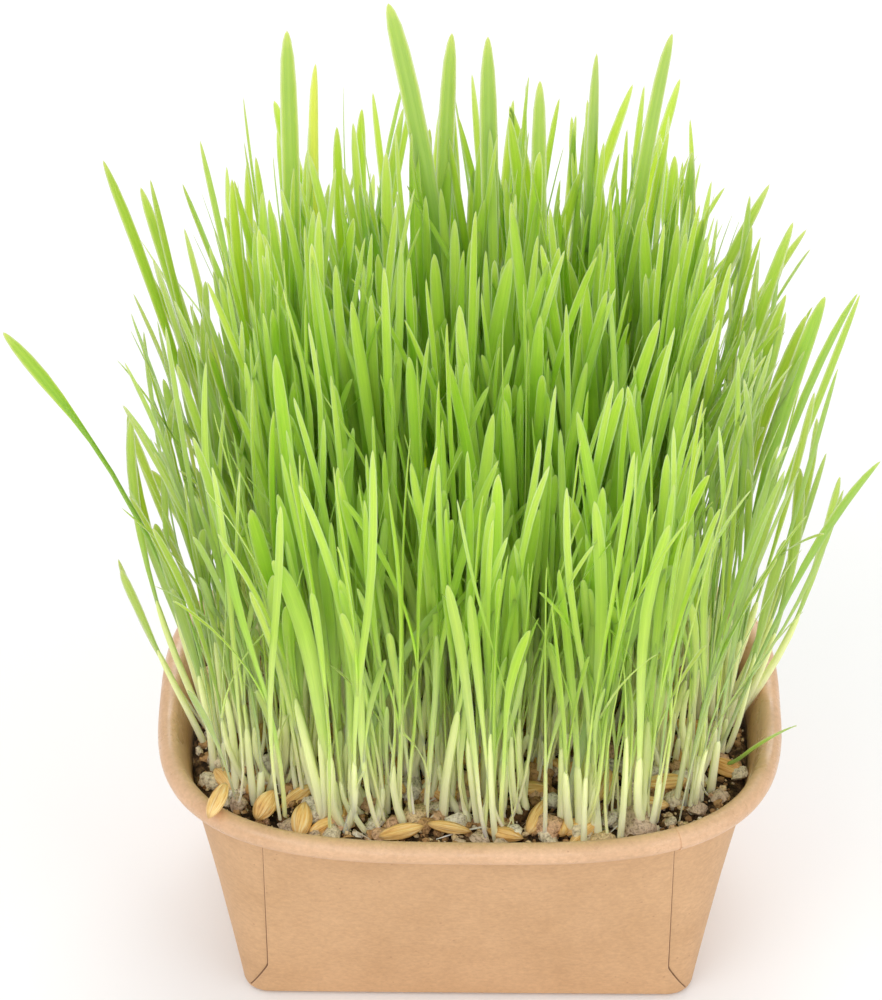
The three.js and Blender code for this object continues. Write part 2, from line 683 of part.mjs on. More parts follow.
// Assembly
const looks = {
  paper: { color: 0xd8ae82, roughness: 0.8, metalness: 0 },
  medium: { color: 0x5a4030, roughness: 0.95, metalness: 0 },
  grass: { color: 0x8fc04a, roughness: 0.5, metalness: 0 },
  grain: { color: 0xd9a55c, roughness: 0.6, metalness: 0 },
};
const model = new THREE.Group();
function addPiece(name, solid, look) {
  const mesh = new THREE.Mesh(geometryFrom(solid), new THREE.MeshStandardMaterial(look));
  mesh.name = name;
  model.add(mesh);
}
const twoDigits = (number) => String(number).padStart(2, "0");

const tufts = tuftGrid();
const placed = sowGrass(tufts);
const sockets = wasm.Manifold.union(tufts.map((tuft) => plugBlock(tuft, gap)));
const largest = (solid) => solid.decompose().reduce((a, b) => (b.volume() > a.volume() ? b : a));

addPiece("paper_tray", paperTray(), looks.paper);
const medium = wasm.Manifold.union([mediumBlock(), ...stones()]).subtract(sockets);
addPiece("growing_medium", largest(medium), looks.medium);
for (const tuft of tufts) {
  addPiece(`grass_tuft_${twoDigits(tuft.index + 1)}`, largest(tuftSolid(tuft, placed)), looks.grass);
}
looseGrains.forEach((loose, i) => {
  addPiece(`grain_${twoDigits(i + 1)}`, looseGrain(loose), looks.grain);
});
addPiece("grain_on_rim", grainOverRim(), looks.grain);

export default model;
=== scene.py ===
import math
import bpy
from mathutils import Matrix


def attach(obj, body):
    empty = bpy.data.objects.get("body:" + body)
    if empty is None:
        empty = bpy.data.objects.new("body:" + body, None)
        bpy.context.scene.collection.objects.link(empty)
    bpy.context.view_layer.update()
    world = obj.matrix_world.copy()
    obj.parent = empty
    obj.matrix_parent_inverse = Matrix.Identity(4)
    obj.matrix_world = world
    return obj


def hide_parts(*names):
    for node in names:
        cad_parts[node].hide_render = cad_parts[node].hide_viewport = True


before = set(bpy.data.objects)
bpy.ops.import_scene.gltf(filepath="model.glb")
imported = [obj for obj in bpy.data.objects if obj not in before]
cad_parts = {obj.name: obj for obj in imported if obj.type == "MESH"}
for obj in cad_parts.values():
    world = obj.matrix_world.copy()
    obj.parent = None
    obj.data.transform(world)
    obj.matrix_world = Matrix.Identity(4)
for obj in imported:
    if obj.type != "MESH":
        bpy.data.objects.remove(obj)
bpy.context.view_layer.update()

from types import SimpleNamespace

import bpy
import numpy as np
from mathutils import Vector

mm = 0.001  # lengths below are in millimetres, and become metres when a mesh is made


# random numbers that come out the same every time, and that the solids were drawn with too

def numberStream(seed):
    state = [seed & 0xFFFFFFFF]

    def nextNumber():
        state[0] = (state[0] * 1664525 + 1013904223) & 0xFFFFFFFF
        return state[0] / 4294967296
    for warmUp in range(3):
        nextNumber()
    return nextNumber


def mix(a, b, share):
    return a + (b - a) * share


def swing(draw, reach):
    return (draw() - 0.5) * reach


def spotNear(draw, tuft, reach):
    x = tuft["x"] + (2 * draw() - 1) * reach
    return x, tuft["y"] + (2 * draw() - 1) * reach


def sideStep(angle, length=1):
    # a step sideways, at an angle seen from above
    return length * np.array([math.cos(angle), math.sin(angle), 0])


def unit(v):
    return v / np.linalg.norm(v, axis=-1, keepdims=True)


# making and finishing pieces

def nothingSelected():
    if bpy.context.object and bpy.context.object.mode != 'OBJECT':
        bpy.ops.object.mode_set(mode='OBJECT')
    bpy.ops.object.select_all(action='DESELECT')


def newObject(name):
    # the primitive that was added last, under its own name
    bpy.context.object.name = name
    return bpy.context.object


def editWhole():
    bpy.ops.object.mode_set(mode='EDIT')
    bpy.ops.mesh.select_all(action='SELECT')


def pickUp(obj):
    nothingSelected()
    obj.select_set(True)
    bpy.context.view_layer.objects.active = obj


def settle(obj, mergeWithin=0.00001):
    # merges what lies on the same spot and turns the faces outwards
    pickUp(obj)
    editWhole()
    bpy.ops.mesh.remove_doubles(threshold=mergeWithin)
    bpy.ops.mesh.normals_make_consistent(inside=False)
    bpy.ops.object.mode_set(mode='OBJECT')


def finishPiece(obj, material, standsFor=(), smoothAngle=40):
    pickUp(obj)
    bpy.ops.object.shade_smooth_by_angle(angle=math.radians(smoothAngle))
    if material is not None:
        obj.data.materials.clear()
        obj.data.materials.append(material)
    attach(obj, "root")
    if standsFor:
        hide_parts(*standsFor)


def takeShape(obj):
    # reads a modelled pattern: its points, its faces, and then puts it away
    points = np.array([v.co for v in obj.data.vertices])
    faces = [list(p.vertices) for p in obj.data.polygons]
    bpy.data.objects.remove(obj, do_unlink=True)
    return {"points": points, "faces": faces}


def gather(name, copies):
    # one mesh from many laid copies, each with its points in millimetres and its own values
    points, faces, start = [], [], 0
    values = {key: [] for key in copies[0]["values"]}
    for copy in copies:
        points.append(copy["points"] * mm)
        faces.extend([[start + i for i in face] for face in copy["faces"]])
        for key, value in copy["values"].items():
            values[key].append(np.broadcast_to(value, (len(copy["points"]),)))
        start += len(copy["points"])
    mesh = bpy.data.meshes.new(name)
    mesh.from_pydata(np.concatenate(points).tolist(), [], faces)
    for key, lists in values.items():
        attribute = mesh.attributes.new(key, 'FLOAT', 'POINT')
        attribute.data.foreach_set("value", np.concatenate(lists).astype(np.float32))
    obj = bpy.data.objects.new(name, mesh)
    bpy.context.scene.collection.objects.link(obj)
    return obj


def addGrid(name, columns, rows):
    # a flat grid to be shaped, with how far across and along it each of its points lies
    nothingSelected()
    bpy.ops.mesh.primitive_grid_add(x_subdivisions=columns, y_subdivisions=rows, size=1)
    obj = newObject(name)
    return obj, np.array([v.co for v in obj.data.vertices]) + 0.5


def placePoints(obj, points):
    obj.data.vertices.foreach_set("co", points.ravel())
    obj.data.update()


def thicken(obj, thickness, offset, rimMaterial=0):
    pickUp(obj)
    sheet = obj.modifiers.new("board", 'SOLIDIFY')
    sheet.thickness = thickness * mm
    sheet.offset = offset
    sheet.material_offset_rim = rimMaterial
    bpy.ops.object.modifier_apply(modifier="board")


# materials: each helper adds its nodes to the look that it is handed

def newLook(name):
    material = bpy.data.materials.new(name)
    material.use_nodes = True
    tree = material.node_tree
    return SimpleNamespace(material=material, nodes=tree.nodes, links=tree.links,
                           shader=tree.nodes["Principled BSDF"])


def feed(look, socket, value):
    # a number or a colour is set on the socket itself, and another node's output is linked to it
    if isinstance(value, (int, float)):
        socket.default_value = value
    elif isinstance(value, tuple):
        socket.default_value = (*value, 1)
    else:
        look.links.new(value, socket)


def addNoise(look, source, scale, detail=4, roughness=0.6, stretch=None):
    noise = look.nodes.new("ShaderNodeTexNoise")
    for socket, value in (("Scale", scale), ("Detail", detail), ("Roughness", roughness)):
        noise.inputs[socket].default_value = value
    if stretch:
        mapping = look.nodes.new("ShaderNodeMapping")
        mapping.inputs["Scale"].default_value = stretch
        look.links.new(source, mapping.inputs["Vector"])
        source = mapping.outputs["Vector"]
    look.links.new(source, noise.inputs["Vector"])
    return noise.outputs["Fac"]


def addRamp(look, factor, stops, interpolation='LINEAR'):
    ramp = look.nodes.new("ShaderNodeValToRGB")
    ramp.color_ramp.interpolation = interpolation
    elements = ramp.color_ramp.elements
    while len(elements) < len(stops):
        elements.new(0.5)
    for element, (place, colour) in zip(elements, stops):
        element.position = place
        element.color = (*colour, 1)
    look.links.new(factor, ramp.inputs["Fac"])
    return ramp.outputs["Color"]


def blendColours(look, a, b, factor=1.0, how='MULTIPLY'):
    blend = look.nodes.new("ShaderNodeMix")
    blend.data_type = 'RGBA'
    blend.blend_type = how
    colourSockets = [socket for socket in blend.inputs if socket.type == 'RGBA']
    feed(look, colourSockets[0], a)
    feed(look, colourSockets[1], b)
    feed(look, blend.inputs["Factor"], factor)
    return [socket for socket in blend.outputs if socket.type == 'RGBA'][0]


def mathNode(look, operation, a, b=None):
    node = look.nodes.new("ShaderNodeMath")
    node.operation = operation
    feed(look, node.inputs[0], a)
    if b is not None:
        feed(look, node.inputs[1], b)
    return node.outputs["Value"]


def addBump(look, height, strength, distance):
    bump = look.nodes.new("ShaderNodeBump")
    bump.inputs["Strength"].default_value = strength
    bump.inputs["Distance"].default_value = distance
    look.links.new(height, bump.inputs["Height"])
    look.links.new(bump.outputs["Normal"], look.shader.inputs["Normal"])


def readValues(look, *names):
    # the values that each point of a strand or grain carries
    outputs = []
    for name in names:
        node = look.nodes.new("ShaderNodeAttribute")
        node.attribute_name = name
        outputs.append(node.outputs["Fac"])
    return outputs


def objectPlace(look):
    return look.nodes.new("ShaderNodeTexCoord").outputs["Object"]


def streakNoise(look, values, stretches, scale, detail, roughness=0.5):
    # noise drawn out along a strand, and different on each one
    combine = look.nodes.new("ShaderNodeCombineXYZ")
    for axis, value, stretch in zip("XYZ", values, stretches):
        look.links.new(mathNode(look, 'MULTIPLY', value, stretch), combine.inputs[axis])
    return addNoise(look, combine.outputs["Vector"], scale, detail, roughness)


def grey(value):
    return (value, value, value)


def coatWith(look, colour, settings):
    look.links.new(colour, look.shader.inputs["Base Color"])
    for socket, value in settings.items():
        look.shader.inputs[socket].default_value = value
    return look.material


# camera and light

photo = {
    "eye": (3.17, -730.94, 627.22),
    "target": (-6.15, 45.66, 62.94),
    "lens": 173.34, "sensor": 36, "sees": 10,
}


def aimAt(obj, place, target):
    obj.location = Vector(place) * mm
    obj.rotation_euler = (Vector(target) * mm - obj.location).to_track_quat('-Z', 'Y').to_euler()
    bpy.context.scene.collection.objects.link(obj)


def setCamera():
    data = bpy.data.cameras.new("camera")
    data.lens = photo["lens"]
    data.sensor_width = photo["sensor"]
    data.sensor_fit = 'AUTO'
    data.clip_end = photo["sees"]
    camera = bpy.data.objects.new("camera", data)
    aimAt(camera, photo["eye"], photo["target"])
    bpy.context.scene.camera = camera


studio = {
    "world": 0.7, "gamma": 1.12, "aim": (0, 0, 70), "floor": 6,
    "key": {"at": (-520, -620, 900), "size": 700, "power": 3.4},
    "front": {"at": (-60, -1000, 430), "size": 600, "power": 1.9},
    "fill": {"at": (700, -500, 500), "size": 800, "power": 2.2},
    "back": {"at": (100, 800, 800), "size": 700, "power": 5},
}


def addLamp(name, at, size, power):
    data = bpy.data.lights.new(name, 'AREA')
    data.size = size * mm
    data.energy = power
    aimAt(bpy.data.objects.new(name, data), at, studio["aim"])


def setStudio():
    world = bpy.data.worlds.new("studio")
    world.use_nodes = True
    background = world.node_tree.nodes["Background"]
    background.inputs["Color"].default_value = (1, 1, 1, 1)
    background.inputs["Strength"].default_value = studio["world"]
    bpy.context.scene.world = world
    for name in ("key", "front", "fill", "back"):
        addLamp(name, **studio[name])
    bpy.context.scene.view_settings.view_transform = 'Standard'
    bpy.context.scene.view_settings.gamma = studio["gamma"]
    nothingSelected()
    bpy.ops.mesh.primitive_plane_add(size=studio["floor"], location=(0, 0, 0))
    floor = newObject("floor")
    look = newLook("pale_floor")
    feed(look, look.shader.inputs["Base Color"], grey(0.9))
    feed(look, look.shader.inputs["Roughness"], 0.9)
    floor.data.materials.append(look.material)


# the folded paper tray

tray = {
    "height": 50, "rimHalfX": 60, "rimHalfY": 47.5, "rimPower": 3.15,
    "roll": 2.1, "board": 0.6,
    "baseHalfX": 43.5, "baseHalfY": 31, "baseCorner": 5, "baseEdge": 1,
    "sideSteps": 16, "cornerSteps": 22,
    "outsideLevels": (4, 8, 14, 20, 26, 32, 38, 42, 44.5),
    "insideLevels": (45.8, 44, 38, 26, 14, 4),
    "flapHalf": 38.5, "flapFoot": 1.2, "flapSkirt": 7.5, "flapSpread": 3.6, "flapTop": 45.6,
    "flapThick": 0.36, "seamThick": 0.06,
    "lapX": 38, "lapLift": 0.16, "lapLength": 13, "lapTurn": (-60, 105), "lapThick": 0.25,
}
wallTopX = tray["rimHalfX"] - 2 * tray["roll"]
wallTopY = tray["rimHalfY"] - 2 * tray["roll"]
wallTopZ = tray["height"] - tray["roll"]
seamX = tray["baseHalfX"] - tray["baseCorner"]
seamY = tray["baseHalfY"] - tray["baseCorner"]


def rimReach(along, half, across):
    # how far out the top of the wall stands at a place along the other side
    power = tray["rimPower"]
    return across * (1 - np.minimum(np.abs(along) / half, 1) ** power) ** (1 / power)


def rimY(x):
    return rimReach(x, wallTopX, wallTopY)


def quarterOutline(share, sideSteps, cornerSteps):
    # from the middle of the front round the right corner, at a share of the way from base to rim
    power, corner = tray["rimPower"], tray["baseCorner"]
    startAngle = math.acos((seamX / wallTopX) ** (power / 2))
    endAngle = math.asin((seamY / wallTopY) ** (power / 2))
    x = seamX * np.arange(sideSteps) / sideSteps
    front = np.stack([x, mix(-tray["baseHalfY"], -rimY(x), share)], 1)
    turn = np.arange(cornerSteps + 1) / cornerSteps
    arc = turn * math.pi / 2
    angle = mix(startAngle, endAngle, turn)
    base = np.stack([seamX + corner * np.sin(arc), -seamY - corner * np.cos(arc)], 1)
    rim = np.stack([wallTopX * np.cos(angle) ** (2 / power),
                    -wallTopY * np.sin(angle) ** (2 / power)], 1)
    y = seamY * (1 - np.arange(1, sideSteps + 1) / sideSteps)
    side = np.stack([mix(tray["baseHalfX"], rimReach(y, wallTopY, wallTopX), share), -y], 1)
    return np.concatenate([front, mix(base, rim, share), side])


def outwardOf(along):
    along = unit(along)
    return np.stack([along[:, 1], -along[:, 0]], 1)


def ringAt(share, outset, z, sideSteps=tray["sideSteps"], cornerSteps=tray["cornerSteps"]):
    quarter = quarterOutline(share, sideSteps, cornerSteps)
    half = np.concatenate([quarter, (quarter * (1, -1))[::-1][1:]])
    outline = np.concatenate([half, (half * (-1, 1))[::-1][1:-1]])
    flat = outline + outwardOf(np.roll(outline, -1, 0) - np.roll(outline, 1, 0)) * outset
    return np.concatenate([flat, np.full((len(flat), 1), float(z))], 1)


def ringAtHeight(z, outset):
    return ringAt(z / wallTopZ, outset, z)


def wrapSheet(name, rings):
    # a flat grid rolled up through the rings, one row of it to each ring
    columns, rows = len(rings[0]), len(rings) - 1
    obj, flat = addGrid(name, columns, rows)
    column = np.rint(flat[:, 0] * columns).astype(int) % columns
    row = np.rint(flat[:, 1] * rows).astype(int)
    placePoints(obj, np.stack(rings)[row, column] * mm)
    settle(obj)
    return obj


def makePaper():
    look = newLook("kraft_paper")
    place = objectPlace(look)
    fibres = addNoise(look, place, 1300, 5, 0.7, (0.7, 0.7, 1.2))
    grain = addNoise(look, place, 3200, 3, 0.6)
    body = addRamp(look, addNoise(look, place, 90, 3), [
        (0.3, (0.55, 0.303, 0.136)), (0.7, (0.628, 0.357, 0.171))])
    laid = addRamp(look, fibres, [(0.3, (0.83, 0.82, 0.8)), (0.7, (1.12, 1.13, 1.15))])
    colour = blendColours(look, body, laid, 0.8)
    flecks = look.nodes.new("ShaderNodeTexVoronoi")
    flecks.inputs["Scale"].default_value = 420
    look.links.new(place, flecks.inputs["Vector"])
    rare = look.nodes.new("ShaderNodeSeparateColor")
    look.links.new(flecks.outputs["Color"], rare.inputs["Color"])
    few = mathNode(look, 'GREATER_THAN', rare.outputs["Red"], 0.72)
    small = mathNode(look, 'LESS_THAN', flecks.outputs["Distance"], 0.1)
    fleckShare = mathNode(look, 'MULTIPLY', mathNode(look, 'MULTIPLY', few, small), 0.5)
    colour = blendColours(look, colour, (0.36, 0.17, 0.07), fleckShare, 'MIX')
    # the rolled rim gets a painted highlight, paler and bluer than the wall, and it is worn smooth
    # in places
    height = look.nodes.new("ShaderNodeSeparateXYZ")
    look.links.new(place, height.inputs["Vector"])
    up = mathNode(look, 'MULTIPLY', height.outputs["Z"], 18)
    rollFrom, rollTo = 0.815, 0.85
    # painted highlight: the paper colour is lifted on the roll above this height
    rimPaintedHighlight = addRamp(look, up, [(rollFrom, grey(1)), (rollTo, (1.14, 1.19, 1.38))])
    worn = addRamp(look, addNoise(look, place, 190, 4), [(0.38, grey(0.2)), (0.62, grey(0.46))])
    onRoll = addRamp(look, up, [(rollFrom, grey(0)), (rollTo, grey(1))])
    roughness = blendColours(look, grey(0.6), worn, onRoll, 'MIX')
    look.links.new(roughness, look.shader.inputs["Roughness"])
    tooth = mathNode(look, 'ADD', fibres, mathNode(look, 'MULTIPLY', grain, 0.6))
    addBump(look, tooth, 0.25, 0.00012)
    return coatWith(look, blendColours(look, colour, rimPaintedHighlight), {"Specular IOR Level": 0.5})


def makeEdgeLook(name, grainScale, dark, pale, roughness):
    # the look of a seam strip: dark for a painted shadow line, pale for a painted highlight
    look = newLook(name)
    grain = addNoise(look, objectPlace(look), grainScale, 3)
    colour = addRamp(look, grain, [(0.3, dark), (0.7, pale)])
    return coatWith(look, colour, {"Roughness": roughness})


def makeTray(paper, shadow, edgeHighlight):
    roll, board, edge = tray["roll"], tray["board"], tray["baseEdge"]
    centre = np.zeros((len(ringAtHeight(0, 0)), 3))
    rings = [centre, ringAt(0, -edge - 3, 0), ringAt(0, -edge, 0)]
    for degrees in (30, 60):  # the rounded lower edge
        a = math.radians(degrees)
        z = edge * (1 - math.cos(a))
        rings.append(ringAt(z / wallTopZ, -edge * (1 - math.sin(a)), z))
    rings += [ringAtHeight(z, 0) for z in (edge, *tray["outsideLevels"])]
    for degrees in range(-150, 151, 15):  # the rolled rim
        a = math.radians(degrees)
        rings.append(ringAt(1, roll + roll * math.cos(a), wallTopZ + roll * math.sin(a)))
    rings += [ringAtHeight(z, -board) for z in (*tray["insideLevels"], board)]
    rings.append(centre + (0, 0, board))
    finishPiece(wrapSheet("tray", rings), paper, ["paper_tray"], 60)
    for name, side in (("front_flap", -1), ("back_flap", 1)):
        makeFlap(name, side, paper, shadow)
        for end, endName in ((-1, "left"), (1, "right")):
            # beside each flap edge, a strip of painted shadow and a strip of painted highlight
            makeSeam(f"{name}_shadow_{endName}", side, end, 0.1, 0.24, shadow)
            makeSeam(f"{name}_painted_highlight_{endName}", side, end, -0.07, 0.07, edgeHighlight)
    makeLap(paper)


def makeLap(paper):
    # the end of the strip where the rolled rim overlaps itself, running out flush to the right
    columns, rows = 24, 20
    x = np.linspace(tray["lapX"], tray["lapX"] + tray["lapLength"], columns + 1)
    ring = ringAt(1, 0, 0, 60, 90)
    front = ring[(ring[:, 1] < 0) & (ring[:, 0] > 20)]
    front = front[np.argsort(front[:, 0])]
    y = np.interp(x, front[:, 0], front[:, 1])
    outward = outwardOf(np.stack([np.gradient(x), np.gradient(y)], 1))
    obj, flat = addGrid("rim_lap", columns, rows)
    column = np.rint(flat[:, 0] * columns).astype(int)
    turn = np.radians(mix(*tray["lapTurn"], flat[:, 1]))
    lift = mix(tray["lapLift"], 0.02, np.clip(column / columns, 0, 1))
    reach = tray["roll"] + (tray["roll"] + lift) * np.cos(turn)
    place = np.stack([x, y], 1)[column] + outward[column] * reach[:, None]
    z = wallTopZ + (tray["roll"] + lift) * np.sin(turn)
    placePoints(obj, np.concatenate([place, z[:, None]], 1) * mm)
    settle(obj)
    if obj.data.polygons[columns * rows // 2].normal.y > 0:
        obj.data.flip_normals()
    thicken(obj, tray["lapThick"], -1)
    finishPiece(obj, paper)


def flapSpread(z):
    # the flap's lower corners are cut on the slant
    return np.clip(1 - (z - tray["flapFoot"]) / tray["flapSkirt"], 0, 1) * tray["flapSpread"]


def wallY(x, z):
    corner = tray["baseCorner"]
    over = np.clip(np.abs(x) - seamX, 0, corner)
    return mix(seamY + np.sqrt(corner ** 2 - over ** 2), rimY(x), z / wallTopZ)


def makeFlap(name, side, paper, shadow):
    # the long side's flap, glued over the folded corners
    obj, flat = addGrid(name, 48, 30)
    z = mix(tray["flapFoot"], tray["flapTop"], flat[:, 1])
    x = (flat[:, 0] - 0.5) * 2 * (tray["flapHalf"] + flapSpread(z))
    placePoints(obj, np.stack([x, side * (wallY(x, z) - 0.03), z], 1) * mm)
    settle(obj)
    if obj.data.polygons[0].normal.y * side < 0:
        obj.data.flip_normals()
    obj.data.materials.append(paper)
    obj.data.materials.append(shadow)
    # the flap's cut edges take the painted shadow look
    thicken(obj, tray["flapThick"], 1, 1)
    finishPiece(obj, None)


def makeSeam(name, side, end, offset, wide, look):
    # a narrow strip beside the flap's edge, in the look it is handed: the dark one is a painted
    # shadow line along the seam, the pale one a painted highlight on the flap's edge
    obj, flat = addGrid(name, 1, 40)
    z = mix(1.25, tray["flapTop"], flat[:, 1])
    x = tray["flapHalf"] + flapSpread(z) + offset + (flat[:, 0] - 0.5) * wide
    y = wallY(x, z) + (tray["seamThick"] if offset > 0 else tray["flapThick"])
    placePoints(obj, np.stack([x * end, side * y, z], 1) * mm)
    thicken(obj, tray["seamThick"], 0)
    settle(obj)
    finishPiece(obj, look)


# the seedlings, by the rule that places the solid ones

plug = {
    "columns": 5, "rows": 4, "areaHalfX": 51.5, "areaHalfY": 39,
    "reach": 13, "rib": 1.8, "top": 43.6,
}
grass = {
    "perSquareCm": 7.2, "baseGap": 1.9, "edge": 1.2, "rootDepth": 1.6,
    "height": 72, "heightSpread": 38, "backHeight": 11,
    "shortShare": 0.1, "shortHeight": (22, 52), "shortWidth": 0.8,
    "width": 2.7, "widthSpread": 1.7,
    "lean": 0.09, "bend": 0.12, "outward": 0.04, "twist": 0.9, "grainGap": 1.2,
}
sectionAt = np.array([0, 0.36, 0.72])
sectionShare = np.array([0.52, 0.7, 1])
clearance = {
    "step": 3, "lowest": 2, "reach": 7, "tipHalf": 0.1,
    "between": 1.5, "within": 1, "tries": 160, "strictTries": 156,
}
rootZ = plug["top"] - grass["rootDepth"]
# seedlings that stand out from the rest: base, the point they bend towards, tip, width, facing
standouts = [
    ((-49, -6), (-55, -6, 96), (-85.3, -5, 136.8), 3, 0.4),
    ((-48, 20), (-50, 22, 105), (-68.4, 25, 155.1), 2.8, 0.5),
    ((-44, 25), (-48, 27, 100), (-62, 29, 146.7), 2.8, 0.2),
    ((-33, 24), (-34, 28, 120), (-34.2, 32, 178.9), 4.2, 0.1),
    ((-26, 27), (-31, 29, 120), (-29, 31, 172.5), 3.2, 0.6),
    ((-2, 25), (-2, 28, 135), (-15.6, 30, 185.9), 4.5, 0),
    ((-7, 30), (-7, 32, 120), (-4, 34, 177.4), 4, 0.1),
    ((6, 26), (4, 28, 115), (2.6, 30, 179.1), 4.4, 0.2),
    ((13, 23), (14, 26, 110), (12.2, 28, 171), 3.6, 0),
    ((23, 27), (21, 30, 115), (22.6, 32, 174.5), 3.4, 0.5),
    ((26, 31), (27, 34, 130), (36.5, 36, 176.4), 3.8, 0.3),
    ((38, 27), (40, 30, 100), (40.8, 34, 152), 3.2, 0.2),
    ((44, 20), (49, 23, 100), (51.4, 25, 148.3), 2.8, 0.6),
    ((47, 13), (54, 15, 95), (57, 17, 141), 2.6, 0.8),
    ((48, 3), (52, 3, 95), (64.6, 4, 139.9), 4.2, 0.1),
    ((49, 8), (55, 9, 98), (71, 9, 137.3), 3, 0.4),
    ((50, -3), (60, -2, 85), (67.3, -1, 127.4), 2.6, 0.7),
    ((47, -13), (57, -15, 88), (74.7, -16, 117.2), 3.2, 0.3),
    ((49, -8), (62, -8, 70), (69, -8, 105), 2.2, 0.5),
    ((49.5, -16), (54, -18, 52), (61.9, -19, 57.7), 2.2, 0.4),
    ((-50, 3), (-62, 2, 78), (-63.7, 1, 115.1), 2.6, 0.9),
    ((-50, -2), (-60, -3, 56), (-66.5, -3, 84), 2, 0.7),
    ((-21, -33), (-20, -31, 78), (-1.8, -30, 98.1), 2.8, 0.3),
    ((18, -30), (22, -33, 78), (36.5, -35, 107.4), 4.4, 0.1),
]
standoutKinds = {"late": (0, 14, 16, 17, 18, 21), "yellowTip": (4,), "short": (19,), "spoon": (0,)}
# loose grains: middle, heading, length, width, pitch
looseGrains = [
    ((-38.4, -29.2), 60, 7, 4.2, 25),
    ((-31.4, -33.2), 82, 8, 3.8, 18),
    ((-12.6, -35.9), 14, 9, 3, 6),
    ((-3.6, -34.6), -6, 8.6, 2.9, -8),
    ((-14.6, -22.6), -52, 8.8, 3.6, 12),
    ((1.2, -20.4), 66, 7.4, 3.8, 20),
    ((11.4, -23.4), 2, 7.6, 3.7, 4),
    ((12.9, -31.4), 66, 8.8, 3, 16),
    ((25.6, -22.4), 70, 7.4, 3.6, 22),
    ((37.4, -21.2), 4, 9, 3.9, 4),
    ((34.6, -27.2), -8, 7, 3.2, 0),
    ((42.6, -4.6), -38, 9.4, 3.8, 14),
    ((-24, -13.6), 24, 7.6, 3.4, 10),
    ((20.6, -17.4), 40, 7, 3.4, 12),
]


def onArea(u, v):
    power = tray["rimPower"]
    reach = (abs(u) ** power + abs(v) ** power) ** (1 / power)
    pressed = max(abs(u), abs(v)) / reach if reach > 0 else 1
    return (u * pressed * plug["areaHalfX"], v * pressed * plug["areaHalfY"])


def tuftGrid():
    tufts = []
    a, b = 1 / plug["columns"], 1 / plug["rows"]
    for row in range(plug["rows"]):
        for column in range(plug["columns"]):
            u = (2 * column + 1) / plug["columns"] - 1
            v = (2 * row + 1) / plug["rows"] - 1
            cell = [onArea(u + du, v + dv) for du, dv in ((a, -b), (a, b), (-a, b), (-a, -b))]
            x = sum(corner[0] for corner in cell) / 4
            y = sum(corner[1] for corner in cell) / 4
            tufts.append({"index": len(tufts), "x": x, "y": y, "cell": cell})
    return tufts


def plugOutline(tuft, outset):
    outline = []
    for cx, cy in tuft["cell"]:
        reach = math.hypot(cx - tuft["x"], cy - tuft["y"])
        kept = 1 + (math.sqrt(2) * (outset - plug["rib"] / 2)) / reach
        outline.append((mix(tuft["x"], cx, kept), mix(tuft["y"], cy, kept)))
    return outline


def planArea(outline):
    area = 0
    for i, (ax, ay) in enumerate(outline):
        bx, by = outline[(i + 1) % len(outline)]
        area += (ax * by - bx * ay) / 2
    return area


def pointToLine(px, py, cx, cy, hx, hy):
    along = np.clip(((px - cx) * hx + (py - cy) * hy) / (hx * hx + hy * hy), -1, 1)
    return np.hypot(px - cx - hx * along, py - cy - hy * along)


def besideGrains(x, y, room):
    for (gx, gy), heading, length, width, pitch in looseGrains:
        half = sideStep(math.radians(heading), length / 2)
        if pointToLine(x, y, gx, gy, half[0], half[1]) <= width / 2 + room:
            return False
    return True


def fillOf(x, y, halfX, halfY):
    # under 1 inside a rounded area of this size, over 1 outside it
    return (abs(x) / halfX) ** tray["rimPower"] + (abs(y) / halfY) ** tray["rimPower"]


def nearestTuft(tufts, x, y):
    away = [math.hypot(x - t["x"], y - t["y"]) for t in tufts]
    return away.index(min(away))


def standsOn(tuft, x, y):
    outline = tuft["inner"]
    for i, (ax, ay) in enumerate(outline):
        bx, by = outline[(i + 1) % len(outline)]
        if (bx - ax) * (y - ay) - (by - ay) * (x - ax) <= 0:
            return False
    return besideGrains(x, y, grass["grainGap"])


def widthAt(facing, run):
    # which way a blade's width points, square to the way it runs
    flat = np.stack([np.cos(facing), np.sin(facing), np.zeros(len(run))], 1)
    return unit(flat - run * np.sum(flat * run, 1, keepdims=True))


def bladePoint(blade, t):
    t = np.asarray(t, float)[..., None]
    u = 1 - t
    return u * u * blade["base"] + 2 * u * t * blade["control"] + t * t * blade["tip"]


def levelCuts(blade):
    # the blade cut at each level: middle x and y, and half its width there as a vector
    knots = np.concatenate([bladePoint(blade, sectionAt), blade["tip"][None]])
    run = unit(np.diff(knots, axis=0))
    across = widthAt(blade["facing"] + blade["twist"] * sectionAt, run)
    half = blade["width"] * sectionShare / 2
    across = np.concatenate([across, across[-1:]])
    half = np.append(half, clearance["tipHalf"])
    cuts = np.full((levelCount, 4), np.nan)
    for level in range(lowestLevel, levelCount):
        z = level * clearance["step"]
        if z >= blade["tip"][2]:
            break
        above = np.nonzero(knots[:, 2] > z)[0]
        if len(above) == 0 or above[0] < 1:
            continue
        high = above[0]
        low = high - 1
        share = (z - knots[low, 2]) / (knots[high, 2] - knots[low, 2])
        middle = mix(knots[low], knots[high], share)
        side = mix(across[low], across[high], share) * mix(half[low], half[high], share)
        cuts[level] = (middle[0], middle[1], side[0], side[1])
    return cuts


